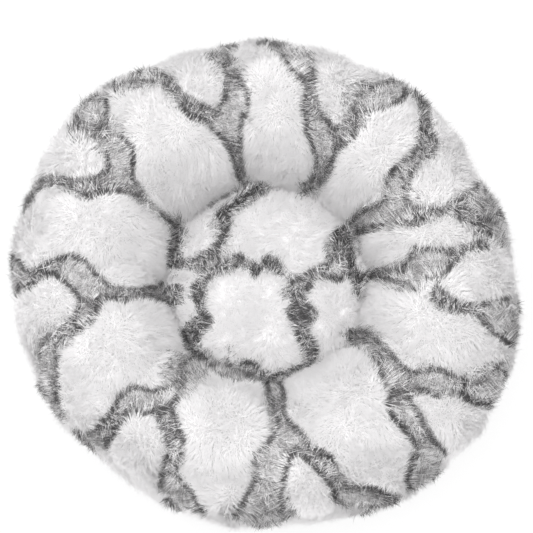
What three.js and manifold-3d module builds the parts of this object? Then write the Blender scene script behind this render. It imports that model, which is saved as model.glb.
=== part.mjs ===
// Round pet bed: a stuffed fur ring round a sunken stuffed seat, on a non-slip base.
// Millimetres, +Z up. The origin is the middle of the underside.
// The washable cover comes off its two cushions through a zip low on the back.
import * as THREE from 'three';
import { mergeVertices } from 'three/addons/utils/BufferGeometryUtils.js';
import Module from 'manifold-3d';

const wasm = await Module();
wasm.setup();

const degree = Math.PI / 180;
const fullTurn = 2 * Math.PI;

// Room between two pieces that touch, room round a filling, and how far joined pieces sink together
const fit = { gap: 0.3, fillingGap: 0.5, sink: 0.6 };

// Section of the ring, measured to the tips of the fur
const ring = {
  centreRadius: 172,
  centreHeight: 88,
  halfWidth: 77,
  crownReach: 86,
  skirtReach: 104,
  crownPower: 2.1,
  skirtPower: 2.6,
  ovalStretch: 7,
  ovalAngle: 152 * degree,
  bulges: [
    [20, -8],
    [45, 3],
    [85, 4],
    [112, -5],
    [143, 6],
    [168, -3],
    [188, 5],
    [234, -4],
    [322, 8],
    [352, -3],
  ].map(([angle, rise]) => ({ angle: angle * degree, rise })),
  bulgeSpread: 12 * degree,
  stations: 48,
};

// The ring's fur cover: backing and pile together, and its gathers towards the well
const cover = {
  furDepth: 22,
  skirtHeight: 3,
  gatherAngles: [4, 31, 63, 99, 148, 185, 226, 274, 324].map((angle) => angle * degree),
  gatherSpread: 8.5 * degree,
  wellGather: 12,
  outerGather: 4,
  seamRelease: 20 * degree,
  outerSteps: 11,
};

// Crowns of the fur's puffs: direction round the bed, and turn of the ring's section. Valleys lie between.
const puffs = {
  crowns: [
    [164, 90],
    [125, 90],
    [110, 42],
    [87, 90],
    [70, 50],
    [48, 98],
    [31, 50],
    [17, 100],
    [3, 45],
    [342, 90],
    [325, 30],
    [304, 102],
    [281, 50],
    [255, 102],
    [232, 42],
    [206, 95],
    [188, 40],
    [147, 35],
    [98, 6],
    [58, 8],
    [14, 4],
    [346, 2],
    [301, 4],
    [262, 6],
    [214, 4],
    [171, 2],
    [129, 4],
  ].map(([angle, turn]) => ({ angle: angle * degree, turn: turn * degree })),
  reach: 46,
  power: 4,
  valley: 6,
};

// The ring's inner cushion: a thin bag, open underneath, and its fibre filling
const cushion = { bagWall: 1.2, crownPower: 2, skirtPower: 1.7, steps: 11 };

// The seat: fur panel over its own bag and filling, with a crown and drawn-in edge
const seat = {
  furDepth: 20,
  edgeDepthShare: 1,
  edgePower: 4,
  bagTuck: 35,
  bagHeight: 70,
  crownPower: 4,
  shoulderPower: 1.6,
  bagStations: 24,
  radiusShares: [0, 0.24, 0.46, 0.66, 0.82, 0.93, 1],
};

// The non-slip base panel, turned up at its edge and set in from the widest part of the ring
const base = { tuckIn: 31.5, sheet: 1.5, wallHeight: 15.85 };

// Sewing thread in the two hidden seams
const seam = { thread: 1.3 };

// The zip: an arc round the back, below the overhang of the fur
const zip = {
  length: 400,
  middleAngle: 90 * degree,
  tapeWidth: 9.2,
  tapeSheet: 0.8,
  coilWidth: 2.75,
  coilDepth: 2.4,
  coverHeight: 30,
  stopLength: 3,
  stopRise: 1,
  stations: 48,
};

// The slider: a channel over the coil, with a bail for the pull
const slider = { length: 11, plate: 1.8, flange: 1.1, tailTaper: 0.8, stations: 6 };
const bail = { length: 8.8, width: 2.4, bar: 1.2 };
const pull = { length: 27, width: 6.8, sheet: 1.2, arm: 1.7, nose: 1.5 };

const colours = {
  fur: 0xe4e2e1,
  seatFur: 0xdcdad9,
  bag: 0xf2f1ee,
  fibre: 0xf8f8f6,
  base: 0x5c5d60,
  thread: 0xd8d7d4,
  tape: 0xe8e7e4,
  coil: 0xd9d8d5,
  metal: 0xb9babc,
};

// Sizes that follow from those above
const wellRadius = ring.centreRadius - ring.halfWidth;
const seatRadius = wellRadius - fit.gap;
const seatBagRadius = wellRadius + seat.bagTuck;
const baseRadius = ring.centreRadius + ring.halfWidth - base.tuckIn;
const floorHeight = base.sheet + fit.gap;
const hemHeight = base.wallHeight + fit.gap;
const hemInnerRadius = baseRadius - base.sheet;
const chainHeight = base.wallHeight + fit.gap / 2;
const tapeRadius = baseRadius + fit.gap;
const coilTopRadius = tapeRadius + zip.coilDepth;
const zipHalfAngle = zip.length / 2 / tapeRadius;
const stationStep = fullTurn / ring.stations;

const furShape = {
  halfWidth: ring.halfWidth,
  highReach: ring.crownReach,
  lowReach: ring.skirtReach,
  highPower: ring.crownPower,
  lowPower: ring.skirtPower,
};
const backingHalfWidth = ring.halfWidth - cover.furDepth;

// The backing comes down onto the hem's inner face at the height where the cover clears the zip
const hemOutShare = (hemInnerRadius - ring.centreRadius) / backingHalfWidth;
const hemDropShare = (1 - hemOutShare ** cushion.skirtPower) ** (1 / cushion.skirtPower);
const backingShape = {
  halfWidth: backingHalfWidth,
  highReach: ring.crownReach - cover.furDepth,
  lowReach: (ring.centreHeight - zip.coverHeight) / hemDropShare,
  highPower: cushion.crownPower,
  lowPower: cushion.skirtPower,
};

const mix = (from, to, share) => from + (to - from) * share;
const clampShare = (value) => THREE.MathUtils.clamp(value, 0, 1);
const signedPower = (value, power) => Math.sign(value) * Math.abs(value) ** power;

// The angle between two directions round the axis, never more than half a turn
function angleBetween(first, second) {
  const turn = Math.abs(first - second) % fullTurn;
  return Math.min(turn, fullTurn - turn);
}

// The same section drawn in by an even depth
function inset(shape, depth) {
  return {
    ...shape,
    halfWidth: shape.halfWidth - depth,
    highReach: shape.highReach - depth,
    lowReach: shape.lowReach - depth,
  };
}

// A point of a section about the ring's middle: turn 0 faces out, a quarter turn up, half a turn the well
function sectionPoint(shape, turn) {
  const high = Math.sin(turn) >= 0;
  const power = 2 / (high ? shape.highPower : shape.lowPower);
  const reach = high ? shape.highReach : shape.lowReach;
  return {
    radius: ring.centreRadius + shape.halfWidth * signedPower(Math.cos(turn), power),
    height: ring.centreHeight + reach * signedPower(Math.sin(turn), power),
    turn,
  };
}

// How far below level a section has to turn to come down to a height
function turnDownTo(shape, height) {
  const share = (ring.centreHeight - height) / shape.lowReach;
  return Math.asin(clampShare(share) ** (shape.lowPower / 2));
}

// How far below level a section has to turn to come in to a radius, on its outer side
function turnInTo(shape, radius) {
  const share = (radius - ring.centreRadius) / shape.halfWidth;
  return Math.acos(clampShare(share) ** (shape.lowPower / 2));
}

function sectionArc(shape, from, to, steps) {
  const shares = Array.from({ length: steps + 1 }, (_, step) => step / steps);
  return shares.map((share) => sectionPoint(shape, mix(from, to, share)));
}

// Turns shared by every layer under the fur, so that the layers lie evenly apart
const layerEnd = turnDownTo(backingShape, floorHeight);
const hemTurn = -turnInTo(backingShape, hemInnerRadius);
const evenTurns = Array.from({ length: cushion.steps - 1 }, (_, step) =>
  mix(-layerEnd, Math.PI + layerEnd, (step + 1) / cushion.steps),
);
const layerTurns = [hemTurn, ...evenTurns].sort((first, second) => first - second);

function layerArc(shape, first, last) {
  const between = layerTurns.filter((turn) => turn > first && turn < last);
  return [first, ...between, last].map((turn) => sectionPoint(shape, turn));
}

// A layer that stands on the base, open or flat underneath
function standingArc(shape) {
  const down = turnDownTo(shape, floorHeight);
  return layerArc(shape, -down, Math.PI + down);
}

// The bed isn't quite round: it is longer one way, and bulges and dips between
function outlineShift(angle) {
  const oval = ring.ovalStretch * Math.cos(2 * (angle - ring.ovalAngle));
  const bulges = ring.bulges.map(
    ({ angle: middle, rise }) =>
      rise * Math.exp(-((angleBetween(angle, middle) / ring.bulgeSpread) ** 2)),
  );
  return bulges.reduce((sum, bulge) => sum + bulge, oval);
}

// Only the ring's outer half is out of round, above the zip
function ovalShift(angle, point) {
  const outwards = clampShare((point.radius - ring.centreRadius) / ring.halfWidth);
  const rise = (point.height - zip.coverHeight) / (ring.centreHeight - zip.coverHeight);
  const upwards = THREE.MathUtils.smoothstep(rise, 0, 1);
  return outlineShift(angle) * outwards * upwards;
}

const ovalPoint = (angle, point) => [point.radius + ovalShift(angle, point), point.height];

// How much of a gather lies at an angle round the bed
function gatherShare(angle) {
  const shares = cover.gatherAngles.map((gather) =>
    Math.exp(-((angleBetween(angle, gather) / cover.gatherSpread) ** 2)),
  );
  return Math.max(...shares);
}

const placeAt = (angle, { radius, height }) =>
  new THREE.Vector3(radius * Math.cos(angle), radius * Math.sin(angle), height);

const crownPlaces = puffs.crowns.map(({ angle, turn }) =>
  placeAt(angle, sectionPoint(furShape, turn)),
);

// How far a place is out of the puffs: 0 on a crown and 1 in a valley
function valleyShare(angle, point) {
  const place = placeAt(angle, point);
  const away = Math.min(...crownPlaces.map((crown) => crown.distanceTo(place)));
  return 1 - Math.exp(-((away / puffs.reach) ** puffs.power));
}

// Draws a fur point in towards the ring's middle at the gathers and between the puffs.
// The cover is at its full thickness again where the well seam holds its end.
function furPoint(angle, point) {
  const wellward = (1 - Math.cos(point.turn)) / 2;
  const above = 1 - clampShare(-Math.sin(point.turn));
  const free = clampShare((wellEndTurn - point.turn) / cover.seamRelease);
  const gather = mix(cover.outerGather, cover.wellGather, wellward) * gatherShare(angle);
  const depth = (gather + puffs.valley * valleyShare(angle, point)) * above * free;
  const [radius, height] = ovalPoint(angle, point);
  return [radius - depth * Math.cos(point.turn), height - depth * Math.sin(point.turn)];
}

// 1 where the cover is raised clear of the zip, falling to 0 beyond its ends
function zipWindowShare(angle) {
  const beyond = zipHalfAngle + 2 * stationStep - angleBetween(angle, zip.middleAngle);
  return clampShare(beyond / stationStep);
}

// A solid through sections, each a list of [radius, height] points at its own angle round the axis.
// A whole turn closes on itself, and a part turn is capped at both ends.
function turnedSolid(sections, wholeTurn) {
  const count = sections[0].points.length;
  const positions = sections.flatMap(({ angle, points }) =>
    points.flatMap(([radius, height]) => [
      radius * Math.cos(angle),
      radius * Math.sin(angle),
      height,
    ]),
  );
  const faces = [];
  const spans = wholeTurn ? sections.length : sections.length - 1;
  for (let span = 0; span < spans; span += 1) {
    const here = span * count;
    const there = ((span + 1) % sections.length) * count;
    faces.push(...spanFaces(sections[0].points, here, there));
  }
  if (!wholeTurn) faces.push(...endCaps(sections, count));
  const geometry = new THREE.BufferGeometry();
  geometry.setAttribute('position', new THREE.Float32BufferAttribute(positions, 3));
  geometry.setIndex(faces);
  return geometry;
}

// Faces between two neighbouring sections. Each four-sided face is split from its lower corner here to
// its higher corner there, so that layers that lie against each other are split alike.
function spanFaces(points, here, there) {
  return points.flatMap(([radius, height], point) => {
    const next = (point + 1) % points.length;
    const [nextRadius, nextHeight] = points[next];
    const near = [here + point, here + next];
    const far = [there + point, there + next];
    if (radius === 0 && nextRadius === 0) return [];
    if (radius === 0) return [near[0], far[1], near[1]];
    if (nextRadius === 0) return [near[0], far[0], near[1]];
    if (nextHeight > height) return [near[0], far[0], far[1], near[0], far[1], near[1]];
    return [near[0], far[0], near[1], far[0], far[1], near[1]];
  });
}

function endCaps(sections, count) {
  const last = (sections.length - 1) * count;
  const capOf = (section) =>
    THREE.ShapeUtils.triangulateShape(
      section.points.map(([radius, height]) => new THREE.Vector2(radius, height)),
      [],
    );
  const first = capOf(sections[0]).flat();
  const end = capOf(sections.at(-1)).flatMap(([a, b, c]) => [last + a, last + c, last + b]);
  return [...first, ...end];
}

// A whole ring from a section that may change round the bed
function ringSolid(sectionAt, stations = ring.stations) {
  const angles = Array.from({ length: stations }, (_, station) => (station * fullTurn) / stations);
  return turnedSolid(
    angles.map((angle) => ({ angle, points: sectionAt(angle) })),
    true,
  );
}

// A part ring between two angles
function arcSolid(sectionAt, from, to, stations) {
  const shares = Array.from({ length: stations + 1 }, (_, station) => station / stations);
  const angles = shares.map((share) => mix(from, to, share));
  return turnedSolid(
    angles.map((angle) => ({ angle, points: sectionAt(angle) })),
    false,
  );
}

function rectangle(innerRadius, outerRadius, low, high) {
  return [
    [innerRadius, low],
    [outerRadius, low],
    [outerRadius, high],
    [innerRadius, high],
  ];
}

// Seat cushion's bag: a dome whose side rounds down to the base
function seatBagHeight(radius) {
  const fallen = clampShare(radius / seatBagRadius) ** seat.crownPower;
  return floorHeight + seat.bagHeight * (1 - fallen) ** (1 / seat.shoulderPower);
}

// The well seam, where the ring's cover meets the edge of the seat
const seamLow = seatBagHeight(seatRadius) + 2 * fit.gap;
const wellEndHeight = seamLow + seam.thread + fit.gap;
const wellEndTurn = Math.PI + turnDownTo(furShape, wellEndHeight);

function rimCoverSection(angle) {
  const raised = zipWindowShare(angle);
  const skirtFoot = mix(cover.skirtHeight, zip.coverHeight, raised);
  const skirtInner = baseRadius + mix(fit.gap, 0, raised);
  const outer = sectionArc(
    furShape,
    -turnDownTo(furShape, skirtFoot),
    wellEndTurn,
    cover.outerSteps,
  );
  const wellEnd = Math.PI + turnDownTo(backingShape, wellEndHeight);
  const inner = layerArc(backingShape, hemTurn, wellEnd).toReversed();
  return [
    ...outer.map((point) => furPoint(angle, point)),
    ...inner.map((point) => ovalPoint(angle, point)),
    [hemInnerRadius, hemHeight],
    [skirtInner, hemHeight],
    [skirtInner, skirtFoot],
  ];
}

function rimBagSection(angle) {
  const outside = inset(backingShape, fit.gap);
  const inside = inset(outside, cushion.bagWall);
  const points = [...standingArc(outside), ...standingArc(inside).toReversed()];
  return points.map((point) => ovalPoint(angle, point));
}

function rimFillingSection(angle) {
  const shape = inset(backingShape, fit.gap + cushion.bagWall + fit.fillingGap);
  return standingArc(shape).map((point) => ovalPoint(angle, point));
}

// Seat fur: thinner and drawn in at its edge, where the seam holds it down
function seatCoverSection() {
  const radii = seat.radiusShares.map((share) => share * seatRadius);
  const under = (radius) => seatBagHeight(radius) + fit.gap;
  const depth = (radius) =>
    seat.furDepth * mix(1, seat.edgeDepthShare, (radius / seatRadius) ** seat.edgePower);
  return [
    ...radii.map((radius) => [radius, under(radius)]),
    ...radii.toReversed().map((radius) => [radius, under(radius) + depth(radius)]),
  ];
}

// The seat bag's dome drawn in by an even depth, from the base's edge up to the axis
function seatDome(depth) {
  const squash = (seat.bagHeight - depth) / seat.bagHeight;
  const radii = seat.radiusShares.toReversed().map((share) => share * seatBagRadius);
  const narrow = (seatBagRadius - depth) / seatBagRadius;
  return radii.map((radius) => [
    radius * narrow,
    floorHeight + (seatBagHeight(radius) - floorHeight) * squash,
  ]);
}

function seatBagSection() {
  return [...seatDome(0), ...seatDome(cushion.bagWall).toReversed()];
}

function seatFillingSection() {
  return [[0, floorHeight], ...seatDome(cushion.bagWall + fit.fillingGap)];
}

function basePanelSection() {
  return [
    [0, 0],
    [baseRadius, 0],
    [baseRadius, base.wallHeight],
    [hemInnerRadius, base.wallHeight],
    [hemInnerRadius, base.sheet],
    [0, base.sheet],
  ];
}

// The well seam's thread lies between the seat's edge and the end of the ring's cover
function wellSeamSection() {
  const inner = seatRadius + fit.gap;
  return rectangle(inner, inner + seam.thread, seamLow, seamLow + seam.thread);
}

// The base seam's thread joins the base to the cover inside, wherever there is no zip
function baseSeam() {
  const outer = hemInnerRadius - fit.gap;
  const low = chainHeight - seam.thread / 2;
  const section = rectangle(outer - seam.thread, outer, low, low + seam.thread);
  const sections = Array.from({ length: ring.stations }, (_, station) => ({
    angle: zip.middleAngle + station * stationStep,
    points: section,
  }));
  const sewn = sections.filter(
    ({ angle }) => angleBetween(angle, zip.middleAngle) > zipHalfAngle + stationStep,
  );
  return turnedSolid(sewn, false);
}

// One half of the zip, up or down from the middle of its chain
function zipTape(side) {
  const near = chainHeight + side * (fit.gap / 2 + zip.coilWidth + fit.gap);
  const far = near + side * zip.tapeWidth;
  return zipStrip(zip.tapeSheet, Math.min(near, far), Math.max(near, far), 0);
}

function zipCoil(side) {
  const near = chainHeight + (side * fit.gap) / 2;
  const far = near + side * zip.coilWidth;
  const ends = (zip.stopLength + fit.gap) / tapeRadius;
  return zipStrip(zip.coilDepth, Math.min(near, far), Math.max(near, far), ends);
}

function zipStrip(depth, low, high, shortened) {
  return arcSolid(
    () => rectangle(tapeRadius, tapeRadius + depth, low, high),
    zip.middleAngle - zipHalfAngle + shortened,
    zip.middleAngle + zipHalfAngle - shortened,
    zip.stations,
  );
}

// A stop closes the chain at one end: -1 is the closed end and 1 the open one
function zipStop(end) {
  const halfChain = fit.gap / 2 + zip.coilWidth;
  const tip = zip.middleAngle + end * zipHalfAngle;
  const root = tip - (end * zip.stopLength) / tapeRadius;
  return arcSolid(
    () =>
      rectangle(
        tapeRadius,
        coilTopRadius + zip.stopRise,
        chainHeight - halfChain,
        chainHeight + halfChain,
      ),
    Math.min(tip, root),
    Math.max(tip, root),
    1,
  );
}

// The slider rests at the closed end, against its stop
const sliderInner = coilTopRadius + fit.gap;
const sliderOuter = sliderInner + slider.plate;
const sliderAngle =
  zip.middleAngle - zipHalfAngle + (zip.stopLength + fit.gap + slider.length / 2) / tapeRadius;
const pullSwing = Math.hypot(pull.sheet / 2, pull.nose / 2);
const pullAxisRadius = sliderOuter + fit.gap + pullSwing;

function sliderChannel() {
  const lip = tapeRadius + zip.tapeSheet + fit.gap;
  const channel = fit.gap / 2 + zip.coilWidth + fit.gap;
  const halfAngle = slider.length / 2 / tapeRadius;
  const sectionAt = (angle) => {
    const tail = (angle - sliderAngle + halfAngle) / (2 * halfAngle);
    const half = channel + slider.flange + mix(slider.tailTaper, 0, tail);
    return [
      [sliderOuter, chainHeight - half],
      [sliderOuter, chainHeight + half],
      [lip, chainHeight + half],
      [lip, chainHeight + channel],
      [sliderInner, chainHeight + channel],
      [sliderInner, chainHeight - channel],
      [lip, chainHeight - channel],
      [lip, chainHeight - half],
    ];
  };
  return arcSolid(sectionAt, sliderAngle - halfAngle, sliderAngle + halfAngle, slider.stations);
}

function roundedBox(left, right, low, high, corner, Kind) {
  const outline = new Kind();
  outline.moveTo(left + corner, low);
  outline.lineTo(right - corner, low);
  outline.absarc(right - corner, low + corner, corner, -Math.PI / 2, 0);
  outline.lineTo(right, high - corner);
  outline.absarc(right - corner, high - corner, corner, 0, Math.PI / 2);
  outline.lineTo(left + corner, high);
  outline.absarc(left + corner, high - corner, corner, Math.PI / 2, Math.PI);
  outline.lineTo(left, low + corner);
  outline.absarc(left + corner, low + corner, corner, Math.PI, 1.5 * Math.PI);
  return outline;
}

function extruded(outline, depth) {
  return new THREE.ExtrudeGeometry(outline, { depth, bevelEnabled: false, curveSegments: 3 });
}

// The bail arches over the pull's nose, along the slider
function sliderBail() {
  const half = bail.length / 2;
  const under = pullAxisRadius + pullSwing + fit.gap;
  const outline = roundedBox(
    -half,
    half,
    sliderOuter - fit.sink,
    under + bail.bar,
    bail.bar,
    THREE.Shape,
  );
  const opening = roundedBox(
    -half + bail.bar,
    half - bail.bar,
    sliderOuter,
    under,
    bail.bar / 2,
    THREE.Path,
  );
  outline.holes.push(opening);
  return extruded(outline, bail.width)
    .translate(0, 0, -bail.width / 2)
    .rotateZ(-Math.PI / 2)
    .translate(0, 0, chainHeight)
    .rotateZ(sliderAngle);
}

function sliderSolid() {
  const joined = manifoldOf(sliderChannel()).add(manifoldOf(sliderBail()));
  return geometryOf(joined);
}

// The pull: a tab with a window that drops over the bail, swinging about its nose bar
function pullTab() {
  const far = pull.length;
  const windowEnd = Math.hypot(bail.length / 2, pullSwing + fit.gap + bail.bar) + fit.gap;
  const outline = roundedBox(
    -pull.nose / 2,
    far,
    -pull.width / 2,
    pull.width / 2,
    pull.arm / 3,
    THREE.Shape,
  );
  const opening = roundedBox(
    pull.nose / 2,
    windowEnd,
    -pull.width / 2 + pull.arm,
    pull.width / 2 - pull.arm,
    pull.arm / 3,
    THREE.Path,
  );
  outline.holes.push(opening);
  return extruded(outline, pull.sheet)
    .translate(0, 0, -pull.sheet / 2)
    .rotateX(Math.PI / 2)
    .rotateZ(Math.PI / 2)
    .translate(pullAxisRadius, 0, chainHeight)
    .rotateZ(sliderAngle);
}

function manifoldOf(geometry) {
  const bare = geometry.clone();
  bare.deleteAttribute('normal');
  bare.deleteAttribute('uv');
  const merged = mergeVertices(bare);
  const vertProperties = new Float32Array(merged.attributes.position.array);
  const triVerts = new Uint32Array(merged.index.array);
  return new wasm.Manifold(new wasm.Mesh({ numProp: 3, vertProperties, triVerts }));
}

function geometryOf(manifold) {
  const mesh = manifold.getMesh();
  const geometry = new THREE.BufferGeometry();
  geometry.setAttribute('position', new THREE.BufferAttribute(mesh.vertProperties, 3));
  geometry.setIndex(new THREE.BufferAttribute(mesh.triVerts, 1));
  return geometry;
}

function piece(name, geometry, color, roughness, metalness = 0) {
  geometry.computeVertexNormals();
  const material = new THREE.MeshStandardMaterial({ color, roughness, metalness });
  const mesh = new THREE.Mesh(geometry, material);
  mesh.name = name;
  return mesh;
}

function fabricPieces() {
  return [
    piece('rim_cover', ringSolid(rimCoverSection), colours.fur, 0.95),
    piece('rim_liner', ringSolid(rimBagSection), colours.bag, 0.9),
    piece('rim_filling', ringSolid(rimFillingSection), colours.fibre, 1),
    piece('seat_cover', ringSolid(seatCoverSection), colours.seatFur, 0.95),
    piece('seat_liner', ringSolid(seatBagSection, seat.bagStations), colours.bag, 0.9),
    piece('seat_filling', ringSolid(seatFillingSection, seat.bagStations), colours.fibre, 1),
    piece('base_panel', ringSolid(basePanelSection), colours.base, 0.8),
    piece('well_seam', ringSolid(wellSeamSection), colours.thread, 0.8),
    piece('base_seam', baseSeam(), colours.thread, 0.8),
  ];
}

function zipPieces() {
  return [
    piece('zip_tape_rim', zipTape(1), colours.tape, 0.85),
    piece('zip_tape_base', zipTape(-1), colours.tape, 0.85),
    piece('zip_coil_rim', zipCoil(1), colours.coil, 0.5),
    piece('zip_coil_base', zipCoil(-1), colours.coil, 0.5),
    piece('zip_stop_closed', zipStop(-1), colours.metal, 0.35, 0.9),
    piece('zip_stop_open', zipStop(1), colours.metal, 0.35, 0.9),
    piece('zip_slider', sliderSolid(), colours.metal, 0.35, 0.9),
    piece('zip_pull', pullTab(), colours.metal, 0.35, 0.9),
  ];
}

const bed = new THREE.Group();
bed.name = 'round_pet_bed';
bed.add(...fabricPieces(), ...zipPieces());

export default bed;
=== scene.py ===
import math

import bmesh
import bpy
import numpy as np
from mathutils import Matrix, Vector
from mathutils.bvhtree import BVHTree
from mathutils.kdtree import KDTree


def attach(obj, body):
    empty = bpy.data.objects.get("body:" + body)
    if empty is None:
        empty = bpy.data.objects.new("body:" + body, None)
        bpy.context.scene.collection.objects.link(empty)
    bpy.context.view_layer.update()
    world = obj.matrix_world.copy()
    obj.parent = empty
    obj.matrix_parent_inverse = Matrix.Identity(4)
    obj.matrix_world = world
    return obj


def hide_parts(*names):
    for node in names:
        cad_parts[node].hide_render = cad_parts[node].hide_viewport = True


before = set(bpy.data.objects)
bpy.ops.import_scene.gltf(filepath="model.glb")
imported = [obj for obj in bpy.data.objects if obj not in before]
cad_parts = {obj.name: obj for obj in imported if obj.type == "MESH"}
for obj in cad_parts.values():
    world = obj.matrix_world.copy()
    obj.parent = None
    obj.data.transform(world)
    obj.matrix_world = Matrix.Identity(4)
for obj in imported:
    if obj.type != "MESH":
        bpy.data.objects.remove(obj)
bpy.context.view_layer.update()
print("frame loaded")

mm = 0.001
fullTurn = 2 * math.pi
imageSide = 533


# Camera at the photograph's angle. The picture is square.
cameraSet = {
    "elevation": math.radians(76),
    "distance": 2.0,
    "lens": 138.6,
    "sensor": 36,
    "aim": (0.0003, 0.0108, 0.100),
}


def makeCamera(settings):
    elevation = settings["elevation"]
    back = Vector((0, -math.cos(elevation), math.sin(elevation)))
    bpy.ops.object.camera_add()
    camera = bpy.context.object
    camera.name = "photoCamera"
    camera.data.lens = settings["lens"]
    camera.data.sensor_width = settings["sensor"]
    camera.location = Vector(settings["aim"]) + back * settings["distance"]
    camera.rotation_euler = (math.pi / 2 - elevation, 0, 0)
    bpy.context.scene.camera = camera
    bpy.context.view_layer.update()
    return camera


camera = makeCamera(cameraSet)


# The line of sight through a pixel of the square picture
def pixelRay(x, y):
    perPixel = cameraSet["sensor"] / imageSide
    half = imageSide / 2
    local = Vector(((x - half) * perPixel, (half - y) * perPixel, -cameraSet["lens"]))
    turned = camera.matrix_world.to_quaternion() @ local
    return camera.matrix_world.translation, turned.normalized()


# Section of the ring's fur backing
ringShape = {
    "centreRadius": 172 * mm,
    "centreHeight": 88 * mm,
    "halfWidth": 55 * mm,
    "crownReach": 64 * mm,
    "skirtReach": 114 * mm,
    "crownPower": 2.0,
    "skirtPower": 1.7,
    "ovalStretch": 7 * mm,
    "ovalAngle": math.radians(152),
    "bulges": [
        (20, -8 * mm), (45, 3 * mm), (85, 4 * mm), (112, -5 * mm), (143, 6 * mm),
        (168, -3 * mm), (188, 5 * mm), (234, -4 * mm), (322, 8 * mm), (352, -3 * mm),
    ],
    "bulgeSpread": math.radians(12),
    "hemHeight": 30 * mm,
    "hemTurn": -0.597,
    "hangPerTurn": 100 * mm,
    "lowestTurn": -0.71,
    "wellTurn": math.pi + 0.30,
    "wallFrom": 0.62 * math.pi,
    "wallFade": 0.3 * math.pi,
}


def signedPower(values, power):
    return np.sign(values) * np.abs(values) ** power


def smoothShare(values):
    share = np.clip(values, 0, 1)
    return share * share * (3 - 2 * share)


# 1 at an angle in degrees round the bed, falling away to either side
def nearAngle(angle, middle, spread):
    away = np.abs((angle - math.radians(middle) + math.pi) % fullTurn - math.pi)
    return np.exp(-((away / spread) ** 2))


# The bed isn't quite round: it is longer one way, and bulges and dips between
def outlineShift(angle):
    shift = ringShape["ovalStretch"] * np.cos(2 * (angle - ringShape["ovalAngle"]))
    for middle, more in ringShape["bulges"]:
        shift = shift + more * nearAngle(angle, middle, ringShape["bulgeSpread"])
    return shift


# Points of the ring's section, drawn in by an even depth. Turn 0 faces out, a quarter turn up, half the well.
def sectionPoints(angle, turn, inset=0):
    high = np.sin(turn) >= 0
    power = 2 / np.where(high, ringShape["crownPower"], ringShape["skirtPower"])
    reach = np.where(high, ringShape["crownReach"], ringShape["skirtReach"]) - inset
    halfWidth = ringShape["halfWidth"] - inset
    radius = ringShape["centreRadius"] + halfWidth * signedPower(np.cos(turn), power)
    height = ringShape["centreHeight"] + reach * signedPower(np.sin(turn), power)
    outwards = np.clip((radius - ringShape["centreRadius"]) / ringShape["halfWidth"], 0, 1)
    rise = (height - ringShape["hemHeight"]) / (ringShape["centreHeight"] - ringShape["hemHeight"])
    radius = radius + outlineShift(angle) * outwards * smoothShare(rise)
    return np.stack([radius * np.cos(angle), radius * np.sin(angle), height], -1)


# The ring's fur backing, which hangs straight down below its hem
def ringPoints(angle, turn):
    points = sectionPoints(angle, np.maximum(turn, ringShape["hemTurn"]))
    points[..., 2] -= np.clip(ringShape["hemTurn"] - turn, 0, None) * ringShape["hangPerTurn"]
    return points


# The seat cushion: a dome, and the radius of the fur panel sewn over it
seatShape = {
    "radius": 95 * mm,
    "bagRadius": 130 * mm,
    "floorHeight": 1.8 * mm,
    "bagHeight": 70 * mm,
    "crownPower": 4,
    "shoulderPower": 1.6,
    "edgeSteepness": 3.2,
}


def seatPoints(angle, radius, inset=0):
    fallen = np.clip(radius / seatShape["bagRadius"], 0, 1) ** seatShape["crownPower"]
    dome = (seatShape["bagHeight"] - inset) * (1 - fallen) ** (1 / seatShape["shoulderPower"])
    height = seatShape["floorHeight"] + dome
    radius = radius * (1 - inset / seatShape["bagRadius"])
    return np.stack([radius * np.cos(angle), radius * np.sin(angle), height], -1)


def unit(vectors):
    return vectors / np.maximum(np.linalg.norm(vectors, axis=-1, keepdims=True), 1e-12)


# Outward normals of a surface given by two running values
def surfaceNormals(surface, first, second, sign):
    step = 1e-4
    alongFirst = surface(first + step, second) - surface(first - step, second)
    alongSecond = surface(first, second + step) - surface(first, second - step)
    return sign * unit(np.cross(alongFirst, alongSecond))


# Pile of the fur: its dense lower part, and how far its loose hair rises above that.
# The rest sets how finely the fur is sampled where lines of sight meet it.
pile = {
    "under": 15 * mm,
    "full": 22 * mm,
    "rise": 5 * mm,
    "wellMore": 2 * mm,
    "seatEdgeMore": 1 * mm,
    "thinnest": 4 * mm,
    "rings": 90,
    "stations": 240,
    "seatRings": 30,
    "seatMiddle": 1 * mm,
}

# Creases of the ring's cover: gathers towards the well, and valleys between the crowns of its puffs.
# Each crown is an angle round the bed and a turn of the section, in degrees.
creases = {
    "gatherAngles": [4, 31, 63, 99, 148, 185, 226, 274, 324],
    "gatherSpread": math.radians(8.5),
    "wellGather": 12 * mm,
    "outerGather": 4 * mm,
    "crowns": [
        (164, 90), (125, 90), (110, 42), (87, 90), (70, 50), (48, 98), (31, 50), (17, 100), (3, 45),
        (342, 90), (325, 30), (304, 102), (281, 50), (255, 102), (232, 42), (206, 95), (188, 40), (147, 35),
        (98, 6), (58, 8), (14, 4), (346, 2), (301, 4), (262, 6), (214, 4), (171, 2), (129, 4),
    ],
    "reach": 46 * mm,
    "power": 4,
    "valley": 6 * mm,
    "seamRelease": 0.475,
}


def gatherShare(angle):
    share = np.zeros_like(angle)
    for gather in creases["gatherAngles"]:
        share = np.maximum(share, nearAngle(angle, gather, creases["gatherSpread"]))
    return share


def makeRimCrowns():
    angle, turn = np.radians(np.array(creases["crowns"], float)).T
    return ringPoints(angle, turn) + surfaceNormals(ringPoints, angle, turn, 1) * pile["full"]


rimCrowns = makeRimCrowns()


# 0 on a crown and 1 in the valleys between them
def valleyShare(points):
    away = np.full(points.shape[:-1], 1.0)
    for crown in rimCrowns:
        away = np.minimum(away, np.linalg.norm(points - crown, axis=-1))
    return 1 - np.exp(-((away / creases["reach"]) ** creases["power"]))


# 0 on the ring's crown, rising to 1 down the wall of the well
def wellWallShare(turn):
    return smoothShare((turn - ringShape["wallFrom"]) / ringShape["wallFade"])


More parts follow.
